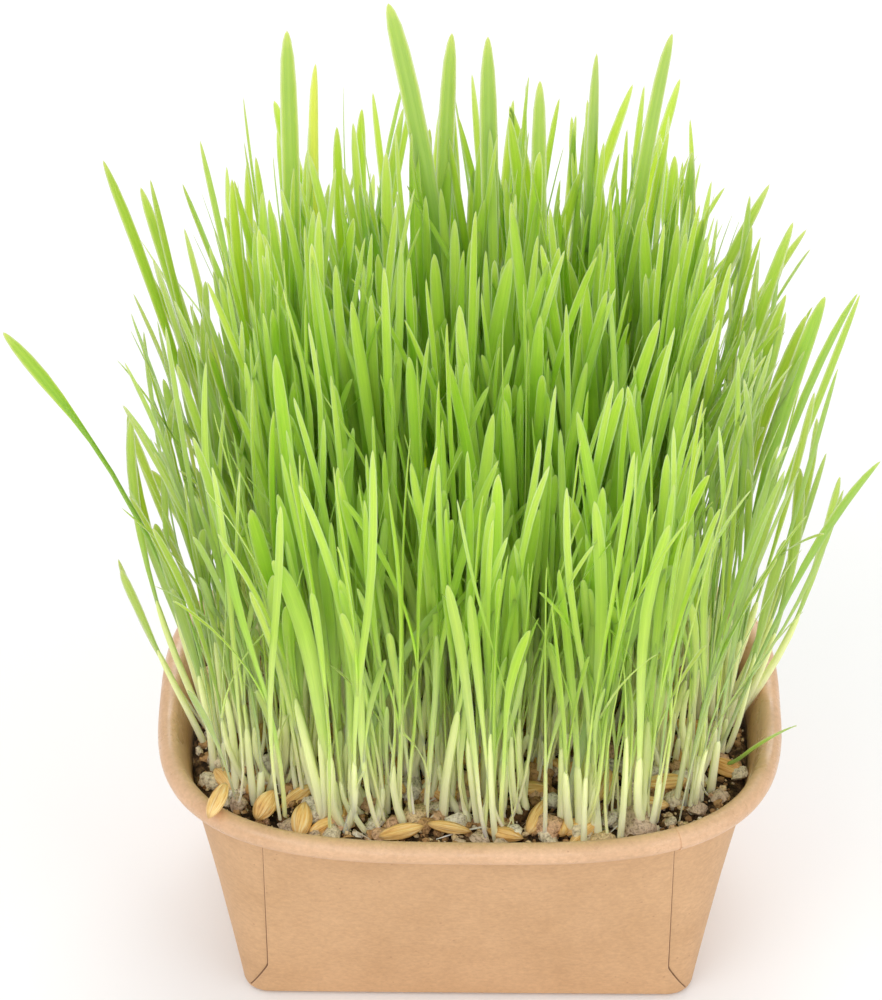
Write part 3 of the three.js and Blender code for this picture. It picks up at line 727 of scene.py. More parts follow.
def clearOf(cuts, others, distances):
    # whether a blade's cuts keep their distance from all the other blades' cuts
    if len(others) == 0:
        return True
    away = np.hypot(others[:, :, 0] - cuts[None, :, 0], others[:, :, 1] - cuts[None, :, 1])
    which, level = np.nonzero(away < clearance["reach"])
    if len(which) == 0:
        return True
    a, b = cuts[level].T, others[which, level].T
    cross = a[2] * b[3] - a[3] * b[2]
    safe = np.where(np.abs(cross) > 1e-9, cross, 1)
    dx, dy = b[0] - a[0], b[1] - a[1]
    onA, onB = (dx * b[3] - dy * b[2]) / safe, (dx * a[3] - dy * a[2]) / safe
    crossing = (np.abs(cross) > 1e-9) & (np.abs(onA) <= 1) & (np.abs(onB) <= 1)
    nearest = np.minimum.reduce([
        pointToLine(a[0] + a[2], a[1] + a[3], *b), pointToLine(a[0] - a[2], a[1] - a[3], *b),
        pointToLine(b[0] + b[2], b[1] + b[3], *a), pointToLine(b[0] - b[2], b[1] - b[3], *a)])
    nearest = np.where(crossing, 0, nearest)
    return not np.any(nearest < distances[which])


def drawBlade(draw, x, y):
    outX, outY = x / plug["areaHalfX"], y / plug["areaHalfY"]

    def spread(amount):
        return amount * (draw() + draw() - 1)
    leanX = grass["outward"] * outX + spread(grass["lean"])
    leanY = grass["outward"] * outY + spread(grass["lean"])
    bendX = grass["outward"] * outX + spread(grass["bend"])
    bendY = grass["outward"] * outY + spread(grass["bend"])
    short = draw() < grass["shortShare"]
    tall = grass["height"] + grass["heightSpread"] * draw() + grass["backHeight"] * outY
    height = mix(*grass["shortHeight"], draw()) if short else tall
    width = (grass["shortWidth"] if short else 1) * (grass["width"] + grass["widthSpread"] * draw())
    droop = 0.5 * math.hypot(bendX, bendY)
    return {
        "base": np.array([x, y, rootZ]),
        "control": np.array([x + leanX * height * 0.5, y + leanY * height * 0.5,
                             rootZ + height * 0.5]),
        "tip": np.array([x + (leanX + bendX) * height, y + (leanY + bendY) * height,
                         rootZ + height * (1 - droop)]),
        "width": width,
        "facing": draw() * math.pi,
        "twist": mix(-grass["twist"], grass["twist"], draw()),
    }


def footOnPlug(tuft, x, y):
    for i in range(20):
        foot = (mix(x, tuft["x"], i / 20), mix(y, tuft["y"], i / 20))
        if standsOn(tuft, *foot):
            return foot
    return (tuft["x"], tuft["y"])


lowestLevel = math.ceil((plug["top"] + clearance["lowest"]) / clearance["step"])
levelCount = 64


def sowGrass(tufts):
    # the same seedlings in the same order as the solids have
    blades, owner = [], []
    for (bx, by), control, tip, width, facing in standouts:
        tuft = tufts[nearestTuft(tufts, bx, by)]
        foot = footOnPlug(tuft, bx, by)
        blades.append({
            "base": np.array([*foot, rootZ]),
            "control": np.array(control, float), "tip": np.array(tip, float),
            "width": width, "facing": facing, "twist": 0.2, "standsOut": True})
        owner.append(tuft["index"])
    cuts = [levelCuts(blade) for blade in blades]
    wanted = [round(planArea(plugOutline(t, 0)) * grass["perSquareCm"] / 100) for t in tufts]
    for slot in range(max(wanted)):
        for tuft in tufts:
            if slot >= wanted[tuft["index"]]:
                continue
            draw = numberStream(7919 * (tuft["index"] + 1) + 104729 * (slot + 1))
            for attempt in range(clearance["tries"]):
                x, y = spotNear(draw, tuft, plug["reach"])
                blade = drawBlade(draw, x, y)
                crowded = any(owner[i] == tuft["index"] and
                              math.hypot(x - b["base"][0], y - b["base"][1]) < grass["baseGap"]
                              for i, b in enumerate(blades))
                if crowded or not standsOn(tuft, x, y):
                    continue
                own = levelCuts(blade)
                within = clearance["within"] if attempt < clearance["strictTries"] else 0
                distances = np.where(np.array(owner) == tuft["index"], within, clearance["between"])
                if clearOf(own, np.stack(cuts), distances):
                    blades.append(blade)
                    cuts.append(own)
                    owner.append(tuft["index"])
                    break
    for blade, tuftIndex in zip(blades, owner):
        blade["tuft"] = tuftIndex
    for kind, numbers in standoutKinds.items():
        for i in numbers:
            blades[i][kind] = True
    return blades


# leaves, sheaths and roots, each modelled once and laid along many curves

leafShape = {
    "sides": 6,
    # how far along, width and thickness as shares of half the full width
    "sections": [
        (0, 0.42, 0.4), (0.05, 0.42, 0.38), (0.1, 0.42, 0.36), (0.17, 0.44, 0.33),
        (0.26, 0.52, 0.26), (0.36, 0.66, 0.17), (0.48, 0.82, 0.11), (0.6, 0.93, 0.09),
        (0.72, 1, 0.08), (0.83, 1, 0.075), (0.9, 0.94, 0.07), (0.95, 0.78, 0.06),
        (0.98, 0.5, 0.05), (0.993, 0.26, 0.05),
    ],
}
lateLeafShape = {  # a long thin stem, and the leaf opens only above it
    "sides": 6,
    "sections": [
        (0, 0.34, 0.34), (0.05, 0.34, 0.33), (0.1, 0.34, 0.32), (0.18, 0.34, 0.31),
        (0.3, 0.34, 0.29), (0.42, 0.38, 0.26), (0.52, 0.5, 0.18), (0.62, 0.74, 0.11),
        (0.72, 0.94, 0.09), (0.82, 1, 0.08), (0.89, 0.96, 0.07), (0.94, 0.8, 0.06),
        (0.975, 0.52, 0.05), (0.992, 0.27, 0.05),
    ],
}
spoonLeafShape = {  # all stem but for the leaf at its end
    "sides": 6,
    "sections": [
        (0, 0.44, 0.44), (0.08, 0.42, 0.42), (0.18, 0.4, 0.4), (0.32, 0.38, 0.38),
        (0.48, 0.37, 0.36), (0.64, 0.37, 0.34), (0.72, 0.4, 0.28), (0.78, 0.6, 0.18),
        (0.83, 0.88, 0.12), (0.88, 1.08, 0.1), (0.925, 1.04, 0.08), (0.96, 0.82, 0.07),
        (0.985, 0.5, 0.06), (0.995, 0.27, 0.05),
    ],
}
sheathShape = {
    "sides": 7,
    "sections": [
        (0, 1, 1), (0.16, 1.06, 1), (0.36, 1.02, 0.97), (0.6, 0.98, 0.92), (0.8, 0.92, 0.85),
        (0.92, 0.72, 0.65), (0.975, 0.42, 0.4),
    ],
}
rootShape = {
    "sides": 4,
    "sections": [
        (0, 1, 1), (0.25, 0.9, 0.9), (0.5, 0.75, 0.75), (0.75, 0.6, 0.6), (0.93, 0.4, 0.4),
    ],
}


def modelStrand(name, shape):
    # a ring of edges pulled up and narrowed section by section, and closed at both ends
    sections = shape["sections"]
    nothingSelected()
    bpy.ops.mesh.primitive_circle_add(vertices=shape["sides"], radius=1, fill_type='NOTHING')
    obj = newObject(name)
    editWhole()
    bpy.ops.transform.rotate(value=math.pi / 2, orient_axis='Z', center_override=(0, 0, 0))
    bpy.ops.transform.resize(value=(sections[0][1], sections[0][2], 1))
    bpy.ops.mesh.edge_face_add()
    bpy.ops.mesh.select_all(action='SELECT')
    for last, here in zip(sections, sections[1:]):
        bpy.ops.mesh.extrude_region_move(
            TRANSFORM_OT_translate={"value": (0, 0, here[0] - last[0])})
        bpy.ops.transform.resize(value=(here[1] / last[1], here[2] / last[2], 1))
    bpy.ops.mesh.extrude_region_move(TRANSFORM_OT_translate={"value": (0, 0, 1 - sections[-1][0])})
    bpy.ops.mesh.merge(type='CENTER')
    bpy.ops.object.mode_set(mode='OBJECT')
    settle(obj, 0.0001)
    return takeShape(obj)


def strandPoint(blade, t):
    # the curve with its own sway, and with its foot drawn aside where it leaves the soil
    place = bladePoint(blade, t)
    if "sway" in blade:
        place = place + np.sin(t * math.pi * 2)[..., None] * blade["sway"]
    if "kick" in blade:
        place = place + (np.clip(1 - t / blade["kickEnds"], 0, 1) ** 2)[..., None] * blade["kick"]
    return place


def layAlong(shape, blade, halfWidth, halfThick, fold=0, values=None):
    # bends a straight pattern along a seedling's curve and turns it with the blade
    points = shape["points"]
    t = points[:, 2] * blade.get("part", 1)
    centre = strandPoint(blade, t)
    run = unit(strandPoint(blade, t + 0.01) - strandPoint(blade, t - 0.01))
    across = widthAt(blade["facing"] + blade["twist"] * t, run)
    rib = np.cross(run, across)
    folded = fold * np.abs(points[:, 0]) * np.clip((t - 0.22) / 0.3, 0, 1)
    placed = (centre + across * (points[:, 0] * halfWidth)[:, None]
              + rib * (points[:, 1] * halfThick + folded * halfWidth)[:, None])
    widest = np.max(np.abs(points[:, 0]))
    copy = {"points": placed, "faces": shape["faces"], "values": {
        "along": t, "across": points[:, 0] / widest,
        "rise": np.clip((placed[:, 2] - plug["top"]) / 120, 0, 1)}}
    copy["values"].update(values or {})
    return copy


seedling = {
    "secondShare": 0.45,  # how many carry a second leaf
    "secondFrom": (0.24, 0.42), "secondLength": (0.3, 0.55), "secondWidth": (0.45, 0.75),
    "sheathShare": 0.6, "sheathHeight": (6, 30), "sheathHalf": (0.5, 0.8), "fringeSheath": (20, 38),
    "narrowed": (0.45, 0.82), "sway": 1.6, "kick": (0.3, 3.4), "kickEnds": (0.1, 0.2),
    "fillersPerTuft": 30, "backFillers": 46, "fillerWidth": (0.48, 0.84), "backWidth": (0.56, 0.98),
    "fillerLean": 2.2, "fillerRise": 1.2, "leastSecond": 1.5, "highest": 171, "widest": 63,
    "shootsPerTuft": 4, "frontShoots": 1, "shootHeight": (7, 28),
    "lateShare": 0.3, "frontKept": 0.25, "sideKept": 0.3, "fold": 0.3,
    "sidesFrom": 36, "sideWidth": 0.72, "frontTo": -18, "frontKick": 1.5, "frontSheaths": 0.45,
    # tints: inside the grass each blade's own hue; out in full light a darker, bluer tint, painted
    # shade and a painted sheen
    "innerTint": (0.37, 0.94), "litOuterTint": (0, 0.2), "outerFrom": 48,
    "litTopTint": 0.3, "topFrom": 160, "roofFall": 0.008, "roofSpread": 16,
    "kickArea": (51.5, 39.2), "shootArea": (50, 37.5), "shootReach": 9, "grainGap": 0.9,
    "tipsFrom": -48, "tipsTo": 60,
}


def loosen(blade, draw, swayScale):
    # nothing grows dead straight
    height = blade["tip"][2] - blade["base"][2]
    angle, turn = draw() * 2 * math.pi, draw() * 2 * math.pi
    sway = seedling["sway"] * swayScale * draw() * min(height / 90, 1.2)
    front = blade["base"][1] < seedling["frontTo"]
    kick = mix(*seedling["kick"], draw() ** (0.8 if front else 1.6))
    kick *= seedling["frontKick"] if front else 1
    foot = (blade["base"] + sideStep(turn, kick))[:2]
    if fillOf(*foot, *seedling["kickArea"]) > 1 or not besideGrains(*foot, seedling["grainGap"]):
        kick = 0
    blade["sway"] = sideStep(angle, sway)
    blade["kick"] = sideStep(turn, kick)
    blade["kickEnds"] = mix(*seedling["kickEnds"], draw()) * 90 / max(height, 30)


def secondLeaf(blade, draw):
    start = mix(*seedling["secondFrom"], draw())
    reach = mix(*seedling["secondLength"], draw())
    base = strandPoint(blade, np.array(start))
    run = unit(strandPoint(blade, np.array(start + 0.02)) - base)
    height = np.linalg.norm(blade["tip"] - blade["base"])
    angle = draw() * 2 * math.pi
    away = sideStep(angle)
    control = base + run * height * reach * 0.5 + away * height * 0.02
    tip = base + run * height * reach * 0.93 + away * height * mix(0.05, 0.16, draw())
    tip[1] = np.clip(tip[1], seedling["tipsFrom"], seedling["tipsTo"])
    width = max(blade["width"] * mix(*seedling["secondWidth"], draw()), seedling["leastSecond"])
    return {"base": base, "control": control, "tip": tip, "width": width,
            "facing": angle + math.pi / 2, "twist": mix(-0.5, 0.5, draw())}


def sheathOn(blade, draw):
    # the pale first sheath that the leaf grows out of
    height = np.linalg.norm(blade["tip"] - blade["base"])
    tall = mix(*seedling["fringeSheath" if blade.get("pale") else "sheathHeight"], draw())
    share = min((grass["rootDepth"] + tall) / height, 0.5)
    return {**blade, "part": share}


def makeLeafLook():
    look = newLook("grass_leaf")
    rise, tint, along, across = readValues(look, "rise", "tint", "along", "across")
    young = addRamp(look, rise, [
        (0, (0.96, 0.93, 0.58)), (0.07, (0.86, 0.9, 0.42)), (0.18, (0.59, 0.8, 0.2)),
        (0.4, (0.47, 0.77, 0.075)), (0.7, (0.41, 0.74, 0.055)), (1, (0.3, 0.55, 0.05))])
    # tints up to 0.3 paint shade and a bluish sheen onto blades in full light; higher tints are
    # each blade's own hue
    hues = addRamp(look, tint, [
        (0, (0.51, 0.54, 0.66)), (0.2, (0.63, 0.63, 0.86)), (0.3, (0.87, 0.75, 1.9)),
        (0.36, (0.8, 0.86, 0.72)), (0.6, (0.98, 1, 0.92)), (0.8, (1.06, 1.02, 1.12)),
        (0.95, (1.08, 1, 1.3)), (1, (2.3, 1.5, 2.2))])
    colour = blendColours(look, young, hues)
    veins = streakNoise(look, (across, along, tint), (5, 2.2, 91), 3.2, 2)
    streaks = addRamp(look, veins, [(0.3, (0.86, 0.9, 0.8)), (0.7, (1.1, 1.07, 1.1))])
    colour = blendColours(look, colour, streaks, 0.9)
    # a paler midrib, and paler margins that are partly the leaf's own pale edge and partly a
    # painted highlight
    midribAndMarginHighlight = addRamp(look, mathNode(look, 'ABSOLUTE', across), [
        (0, (1.16, 1.1, 1.15)), (0.2, (1, 1, 1)), (0.8, (0.93, 0.96, 0.9)),
        (0.94, (1.22, 1.12, 1.4)), (1, (1.3, 1.16, 1.6))])
    colour = blendColours(look, colour, midribAndMarginHighlight, 0.8)
    tips = addRamp(look, along, [(0.965, grey(0)), (1, grey(0.4))])
    colour = blendColours(look, colour, (0.62, 0.66, 0.2), tips, 'MIX')
    return coatWith(look, colour, {
        "Roughness": 0.42, "Specular IOR Level": 0.32, "Subsurface Weight": 0.65,
        "Subsurface Radius": (0.9, 1, 0.35), "Subsurface Scale": 0.0014})


def makeSheathLook():
    look = newLook("pale_sheath")
    rise, tint, along, across = readValues(look, "rise", "tint", "along", "across")
    body = addRamp(look, rise, [
        (0, (0.95, 0.89, 0.56)), (0.03, (0.92, 0.94, 0.58)), (0.1, (0.9, 0.96, 0.44)),
        (0.24, (0.78, 0.91, 0.27))])
    lines = streakNoise(look, (across, along, tint), (6, 1.5, 73), 4, 2)
    streaks = addRamp(look, lines, [(0.3, (0.88, 0.92, 0.82)), (0.7, (1.1, 1.08, 1.12))])
    return coatWith(look, blendColours(look, body, streaks, 0.9), {
        "Roughness": 0.5, "Subsurface Weight": 0.4,
        "Subsurface Radius": (1, 1, 0.6), "Subsurface Scale": 0.0012})


# thin seedlings that hang out over both short sides: base, bend, tip, width
fringe = [
    ((-49.2, -5.4), (-65.1, -5.4, 83.5), (-62.6, -5.4, 118.9), 2.3),
    ((-50, -8.5), (-61.2, -8.5, 70.2), (-65.6, -8.5, 85.5), 2.1),
    ((-50.3, -0.8), (-55.4, -0.8, 67.2), (-62.2, -0.8, 91.5), 2.6),
    ((-47.8, 5.5), (-53.9, 5.5, 76), (-64.4, 5.5, 110.1), 2.2),
    ((-47, 8.7), (-50.1, 8.7, 79), (-60.8, 8.7, 96.3), 3),
    ((-48.8, -3), (-62, -3, 84), (-54.8, -3, 121), 1.9),
    ((-46.5, -12), (-53, -12, 76), (-58.5, -12, 99), 3.2),
    ((-45.5, 2), (-49, 2, 80), (-57, 2, 122), 2.8),
    ((-48.5, -14.5), (-50.5, -15.5, 68), (-55.5, -16, 87), 2.4),
    ((51, 2), (66, 2, 66.6), (69.1, 2, 100.8), 2.3),
    ((51.2, 0.6), (63, 0.6, 71.1), (61.3, 0.6, 103.8), 2.9),
    ((50.5, 4.1), (59.5, 4.1, 66.6), (66.5, 4.1, 104.7), 2),
    ((50.3, 6), (64.6, 6, 83.3), (64.5, 6, 111.3), 1.8),
    ((49.8, 10.8), (58.9, 10.8, 76), (64.2, 10.8, 113.9), 1.9),
    ((49, 20), (57.1, 21, 75.2), (72.8, 23.5, 127.5), 2.4),
    ((49.5, -11), (54, -11, 70), (58.5, -11.5, 96), 2.6),
    ((48, -4), (52.5, -4, 78), (57, -4.5, 108), 2.8),
]


def fringeSeedlings(tufts):
    return [{
        "base": np.array([*foot, rootZ]), "control": np.array(control), "tip": np.array(tip),
        "width": width, "facing": 0.35 * math.sin(i * 2.4), "twist": 0.2,
        "late": True, "pale": True, "standsOut": True, "tuft": nearestTuft(tufts, *foot),
    } for i, (foot, control, tip, width) in enumerate(fringe)]


def fillerSeedlings(tufts):
    # more seedlings between the solid ones, with no share in the solids
    made = []
    for tuft in tufts:
        draw = numberStream(50021 * (tuft["index"] + 1))
        spread = max(abs(tuft["cell"][0][0] - tuft["cell"][2][0]), 1) / 2
        back = tuft["y"] > 0
        for i in range(seedling["backFillers" if back else "fillersPerTuft"]):
            for attempt in range(8):
                x, y = spotNear(draw, tuft, spread)
                share = fillOf(x, y, plug["areaHalfX"] - 1, plug["areaHalfY"] - 1)
                # the soil shows along the front, and gaps between the blades on both sides
                side = seedling["sideKept"] if abs(x) > seedling["sidesFrom"] else 1
                kept = draw() < (seedling["frontKept"] if y < -20 else side)
                if share < 1 and kept and besideGrains(x, y, seedling["grainGap"]):
                    break
            else:
                continue
            blade = drawBlade(draw, x, y)
            lean = mix(1, seedling["fillerLean"], draw())
            foot = blade["base"][:2]
            for key in ("control", "tip"):
                blade[key][:2] = foot + lean * (blade[key][:2] - foot)
            reach = np.array([seedling["widest"], -seedling["tipsFrom"]])
            blade["tip"][:2] = np.clip(blade["tip"][:2], -reach, reach)
            rise = mix(1, seedling["fillerRise"], draw()) if y > -12 else 1
            grown = rise * (blade["tip"][2] - rootZ)
            # the sides grow less tall
            fall = seedling["roofFall"] * blade["tip"][0] ** 2
            roof = seedling["highest"] - fall - seedling["roofSpread"] * draw()
            rise *= min(1, (roof - rootZ) / grown)
            for key in ("control", "tip"):
                blade[key][2] = rootZ + rise * (blade[key][2] - rootZ)
            blade["tuft"] = tuft["index"]
            blade["width"] *= mix(*seedling["backWidth" if back else "fillerWidth"], draw())
            made.append(blade)
    return made


def bareShoots(tuft, draw):
    # young shoots that show only their pale sheath
    shoots = []
    for i in range(seedling["frontShoots" if tuft["y"] < seedling["frontTo"] else "shootsPerTuft"]):
        x, y = spotNear(draw, tuft, seedling["shootReach"])
        height = mix(*seedling["shootHeight"], draw())
        if fillOf(x, y, *seedling["shootArea"]) > 1 or not besideGrains(x, y, 1):
            continue
        leanX, leanY = swing(draw, 0.7), swing(draw, 0.7)
        base = np.array([x, y, rootZ])
        tip = base + (leanX * height, leanY * height, height)
        bow = (swing(draw, 0.3 * height), swing(draw, 0.3 * height), 0)
        shoots.append({"base": base, "control": (base + tip) / 2 + bow, "tip": tip,
                       "facing": draw() * 3, "twist": 0})
    return shoots


def growTufts(tufts, blades, leafLook, sheathLook):
    leaf = modelStrand("leaf_pattern", leafShape)
    lateLeaf = modelStrand("late_leaf_pattern", lateLeafShape)
    spoonLeaf = modelStrand("spoon_leaf_pattern", spoonLeafShape)
    sheath = modelStrand("sheath_pattern", sheathShape)
    fillers = fillerSeedlings(tufts)
    print("filler seedlings:", len(fillers))
    everyBlade = blades + fillers + fringeSeedlings(tufts)
    for tuft in tufts:
        own = [b for b in everyBlade if b["tuft"] == tuft["index"]]
        draw = numberStream(977 * (tuft["index"] + 1))
        leaves, sheaths = [], []
        for blade in own:
            tint = mix(*seedling["innerTint"], draw())
            if blade.get("standsOut") or abs(blade["tip"][0]) > seedling["outerFrom"]:
                # in full light, so painted darker and bluer: painted shade with a painted whitish
                # sheen
                top = blade["tip"][2] > seedling["topFrom"]
                tint = seedling["litTopTint"] if top else mix(*seedling["litOuterTint"], draw())
            outside = abs(blade["base"][0]) > seedling["sidesFrom"]
            front = blade["base"][1] < seedling["frontTo"]
            loosen(blade, draw, 0.4 if blade.get("standsOut") else 1)
            if blade.get("short"):
                blade["width"] *= 1.3
            elif blade.get("standsOut"):
                blade["width"] *= 0.82
            else:
                narrowed = mix(*seedling["narrowed"], draw())
                blade["width"] *= narrowed if tuft["y"] < 0 else 0.35 + 0.6 * narrowed
                blade["width"] *= seedling["sideWidth"] if outside else 1
            half = blade["width"] / 2
            late = draw() < (0.7 if outside else seedling["lateShare"]) or blade.get("late")
            late = late and not blade.get("short")
            if blade.get("yellowTip"):
                tint = 1
            shape = spoonLeaf if blade.get("spoon") else lateLeaf if late else leaf
            leaves.append(layAlong(shape, blade, half, half, seedling["fold"], {"tint": tint}))
            if blade.get("short"):
                leaves[-1]["values"]["rise"] = leaves[-1]["values"]["rise"] + 0.3
            if not blade.get("standsOut") and draw() < seedling["secondShare"]:
                second = secondLeaf(blade, draw)
                half = second["width"] / 2
                if tint > 0.36:
                    tint = np.clip(tint + swing(draw, 0.3), 0.37, 0.95)
                leaves.append(layAlong(leaf, second, half, half, seedling["fold"], {"tint": tint}))
            if draw() < seedling["frontSheaths" if front else "sheathShare"] or blade.get("pale"):
                radius = max(mix(*seedling["sheathHalf"], draw()), half * 0.45 + 0.07)
                wide = radius * (mix(1, 1.45, draw()) if front else 1)
                foot = sheathOn(blade, draw)
                sheaths.append(layAlong(sheath, foot, wide, radius, 0, {"tint": draw()}))
        for shoot in bareShoots(tuft, draw):
            radius = mix(0.45, 0.8, draw())
            sheaths.append(layAlong(sheath, shoot, radius, radius * 0.8, 0, {"tint": draw()}))
        number = f"{tuft['index'] + 1:02d}"
        leafPiece = gather("leaves_" + number, leaves)
        finishPiece(leafPiece, leafLook, ["grass_tuft_" + number], 55)
        if sheaths:
            sheathPiece = gather("sheaths_" + number, sheaths)
            finishPiece(sheathPiece, sheathLook, (), 60)


# the growing medium, its stones and its roots

medium = {
    "gap": 0.35, "floor": 0.95, "level": 43.9, "drop": 0.5, "rings": 46,
    "stones": 460, "stoneSizes": (0.8, 2.8), "crumbs": 5200, "crumbSizes": (0.22, 0.95),
    "paleCrumbs": 0.16, "roots": 260, "rootLength": (4, 11), "rootArea": (51, 39),
    "wallTop": 42.6, "across": 106, "deep": 82, "area": (53.2, 40.8),
}


def groundHeight(x, y):
    # lumps of a few sizes on the surface of the medium
    swell = np.sin(x * 0.31 + 1.3) * np.cos(y * 0.27 - 0.4) * 0.35
    ripple = np.sin(x * 0.93 - y * 0.61) * np.cos(y * 1.07 + x * 0.35) * 0.3
    crumbs = np.sin(x * 2.3 + 1.7 * np.sin(y * 1.9)) * 0.28
    crumbs = crumbs * np.sin(y * 2.6 + 1.3 * np.sin(x * 2.1))
    return medium["level"] - medium["drop"] + swell + ripple + crumbs


def makeSoilLook():
    look = newLook("damp_soil")
    place = objectPlace(look)
    colour = addRamp(look, addNoise(look, place, 420, 4, 0.7), [
        (0.36, (0.012, 0.006, 0.002)), (0.5, (0.055, 0.029, 0.012)), (0.6, (0.18, 0.1, 0.045)),
        (0.72, (0.46, 0.31, 0.16))])
    addBump(look, addNoise(look, place, 1100, 3, 0.75), 1, 0.0016)
    return coatWith(look, colour, {"Roughness": 0.85, "Specular IOR Level": 0.15})


def makeStoneLook():
    look = newLook("grit_stones")
    body = addRamp(look, *readValues(look, "tint"), [
        (0, (0.9, 0.76, 0.52)), (0.16, (0.71, 0.53, 0.36)), (0.28, (0.78, 0.47, 0.26)),
        (0.44, (0.95, 0.86, 0.66)), (0.58, (0.58, 0.32, 0.13)), (0.7, (0.34, 0.18, 0.07)),
        (0.8, (0.84, 0.61, 0.32)), (0.92, (0.12, 0.06, 0.02))], 'CONSTANT')
    mottle = addNoise(look, objectPlace(look), 1300, 3, 0.7)
    shade = addRamp(look, mottle, [
        (0.34, (0.32, 0.27, 0.22)), (0.52, (1, 1, 1)), (0.72, (1.25, 1.24, 1.22))])
    addBump(look, mottle, 1, 0.0009)
    return coatWith(look, blendColours(look, body, shade, 0.85), {
        "Roughness": 0.8, "Specular IOR Level": 0.2})


def makeRootLook():
    look = newLook("white_roots")
    colour = addRamp(look, *readValues(look, "tint"), [
        (0, (0.26, 0.16, 0.08)), (0.4, (0.55, 0.42, 0.27)), (0.6, (0.8, 0.73, 0.6)),
        (1, (0.9, 0.87, 0.8))])
    fuzz = addNoise(look, objectPlace(look), 2400, 3)
    soft = addRamp(look, fuzz, [(0.3, (0.8, 0.78, 0.72)), (0.7, (1.05, 1.05, 1.05))])
    return coatWith(look, blendColours(look, colour, soft), {"Roughness": 0.75})


def makeGround(look):
    inset = -tray["board"] - medium["gap"]
    centre = np.zeros((len(ringAtHeight(0, 0)), 3))
    rings = [centre + (0, 0, medium["floor"]), ringAtHeight(medium["floor"], inset)]
    rings += [ringAtHeight(z, inset) for z in (16, 32, medium["wallTop"])]
    edge = ringAtHeight(medium["wallTop"], inset)
    rough = np.random.default_rng(7)
    for i in range(medium["rings"]):
        scale = 1 - 0.02 - i * 0.98 / medium["rings"]
        ring = edge * (scale, scale, 1)
        ring[:, 2] = groundHeight(ring[:, 0], ring[:, 1]) + rough.uniform(-0.4, 0.4, len(ring))
        rings.append(ring)
    middle = centre.copy()
    middle[:, 2] = groundHeight(0, 0)
    rings.append(middle)
    obj = wrapSheet("ground", rings)
    finishPiece(obj, look, ["growing_medium"], 60)


def modelStone(name, seed, subdivisions):
    nothingSelected()
    bpy.ops.mesh.primitive_ico_sphere_add(subdivisions=subdivisions, radius=1)
    obj = newObject(name)
    editWhole()
    bpy.ops.transform.vertex_random(offset=0.21, uniform=0.5, normal=0.5, seed=seed)
    bpy.ops.transform.resize(value=(1.15, 0.95, 0.78))
    bpy.ops.object.mode_set(mode='OBJECT')
    return takeShape(obj)


def turned(points, heading, pitch, roll):
    cx, sx = math.cos(roll), math.sin(roll)
    cy, sy = math.cos(pitch), math.sin(pitch)
    cz, sz = math.cos(heading), math.sin(heading)
    aboutX = np.array([[1, 0, 0], [0, cx, -sx], [0, sx, cx]])
    aboutY = np.array([[cy, 0, sy], [0, 1, 0], [-sy, 0, cy]])
    aboutZ = np.array([[cz, -sz, 0], [sz, cz, 0], [0, 0, 1]])
    return points @ (aboutZ @ aboutY @ aboutX).T


def layStone(shape, size, x, y, rise, tint, *turns):
    points = turned(shape["points"] * size, *turns) + (x, y, groundHeight(x, y) + size * rise)
    return {"points": points, "faces": shape["faces"], "values": {"tint": tint}}


def spotOnGround(draw, margin):
    for attempt in range(60):
        x, y = swing(draw, medium["across"]), swing(draw, medium["deep"])
        if fillOf(x, y, medium["area"][0] - margin, medium["area"][1] - margin) < 1:
            return x, y
    return 0, 0


# the stones that stand out: place, radius and tint
bigStones = [
    (32.3, -32.4, 3.7, 0.2), (27, -30.1, 2, 0.5), (-28.9, -26.9, 2.7, 0.5),
    (-18.2, -26.8, 2, 0.35), (-16.4, -35.6, 2, 0.35), (-25.8, -35.2, 2.2, 0.05),
    (-14.3, -10.2, 3, 0.65), (8, -35.2, 2.1, 0.5), (21.3, -35.6, 2.3, 0.05),
    (15.1, -35.6, 1.9, 0.05), (22.4, -31.4, 1.9, 0.5), (38.9, -24.9, 1.9, 0.05),
    (42.1, -10.4, 2.2, 0.05), (44.2, -7, 1.9, 0.5), (51.6, -16.7, 1.7, 0.05),
    (15.2, -25.2, 2.1, 0.5), (-23.3, -31.6, 1.7, 0.65), (-30.9, -31.4, 1.7, 0.35),
    (-0.7, -26.9, 1.9, 0.2), (2.2, -36.3, 1.7, 0.2), (-7.4, -24, 1.9, 0.35),
    (36.3, -20.5, 1.7, 0.35), (47.6, -23.3, 1.7, 0.2), (-49.6, -20, 1.9, 0.05),
    (-43.6, -27, 1.7, 0.2),
]


def scatterStones(look):
    shapes = [modelStone(f"stone_pattern_{i}", 11 + i, 2) for i in range(4)]
    small = [modelStone(f"crumb_pattern_{i}", 31 + i, 1) for i in range(3)]
    draw = numberStream(2027)
    placed, stones = [], []
    for i in range(medium["stones"] + len(bigStones)):
        size = mix(*medium["stoneSizes"], draw() ** 1.5)
        for attempt in range(12):
            x, y = spotOnGround(draw, size)
            apart = all(math.hypot(x - a, y - b) > 0.8 * (size + s) for a, b, s in placed)
            if apart and besideGrains(x, y, size * 0.7):
                break
        tint = draw()
        if i < len(bigStones):
            x, y, size, tint = bigStones[i]
        placed.append((x, y, size))
        turns = draw() * 6.3, swing(draw, 0.8), swing(draw, 0.8)
        rise = mix(-0.1, 0.5, draw())
        stones.append(layStone(shapes[i % len(shapes)], size, x, y, rise, tint, *turns))
    finishPiece(gather("pebbles", stones), look, (), 60)
    crumbs = []
    for i in range(medium["crumbs"]):
        size = mix(*medium["crumbSizes"], draw() ** 2)
        x, y = spotOnGround(draw, size)
        turns = draw() * 6.3, draw(), draw()
        rise = mix(-0.1, 0.7, draw())
        pale = draw() < medium["paleCrumbs"]
        tint = draw() * 0.5 if pale else mix(0.58, 1, draw())
        crumbs.append(layStone(small[i % len(small)], size, x, y, rise, tint, *turns))
    finishPiece(gather("crumbs", crumbs), look, (), 50)


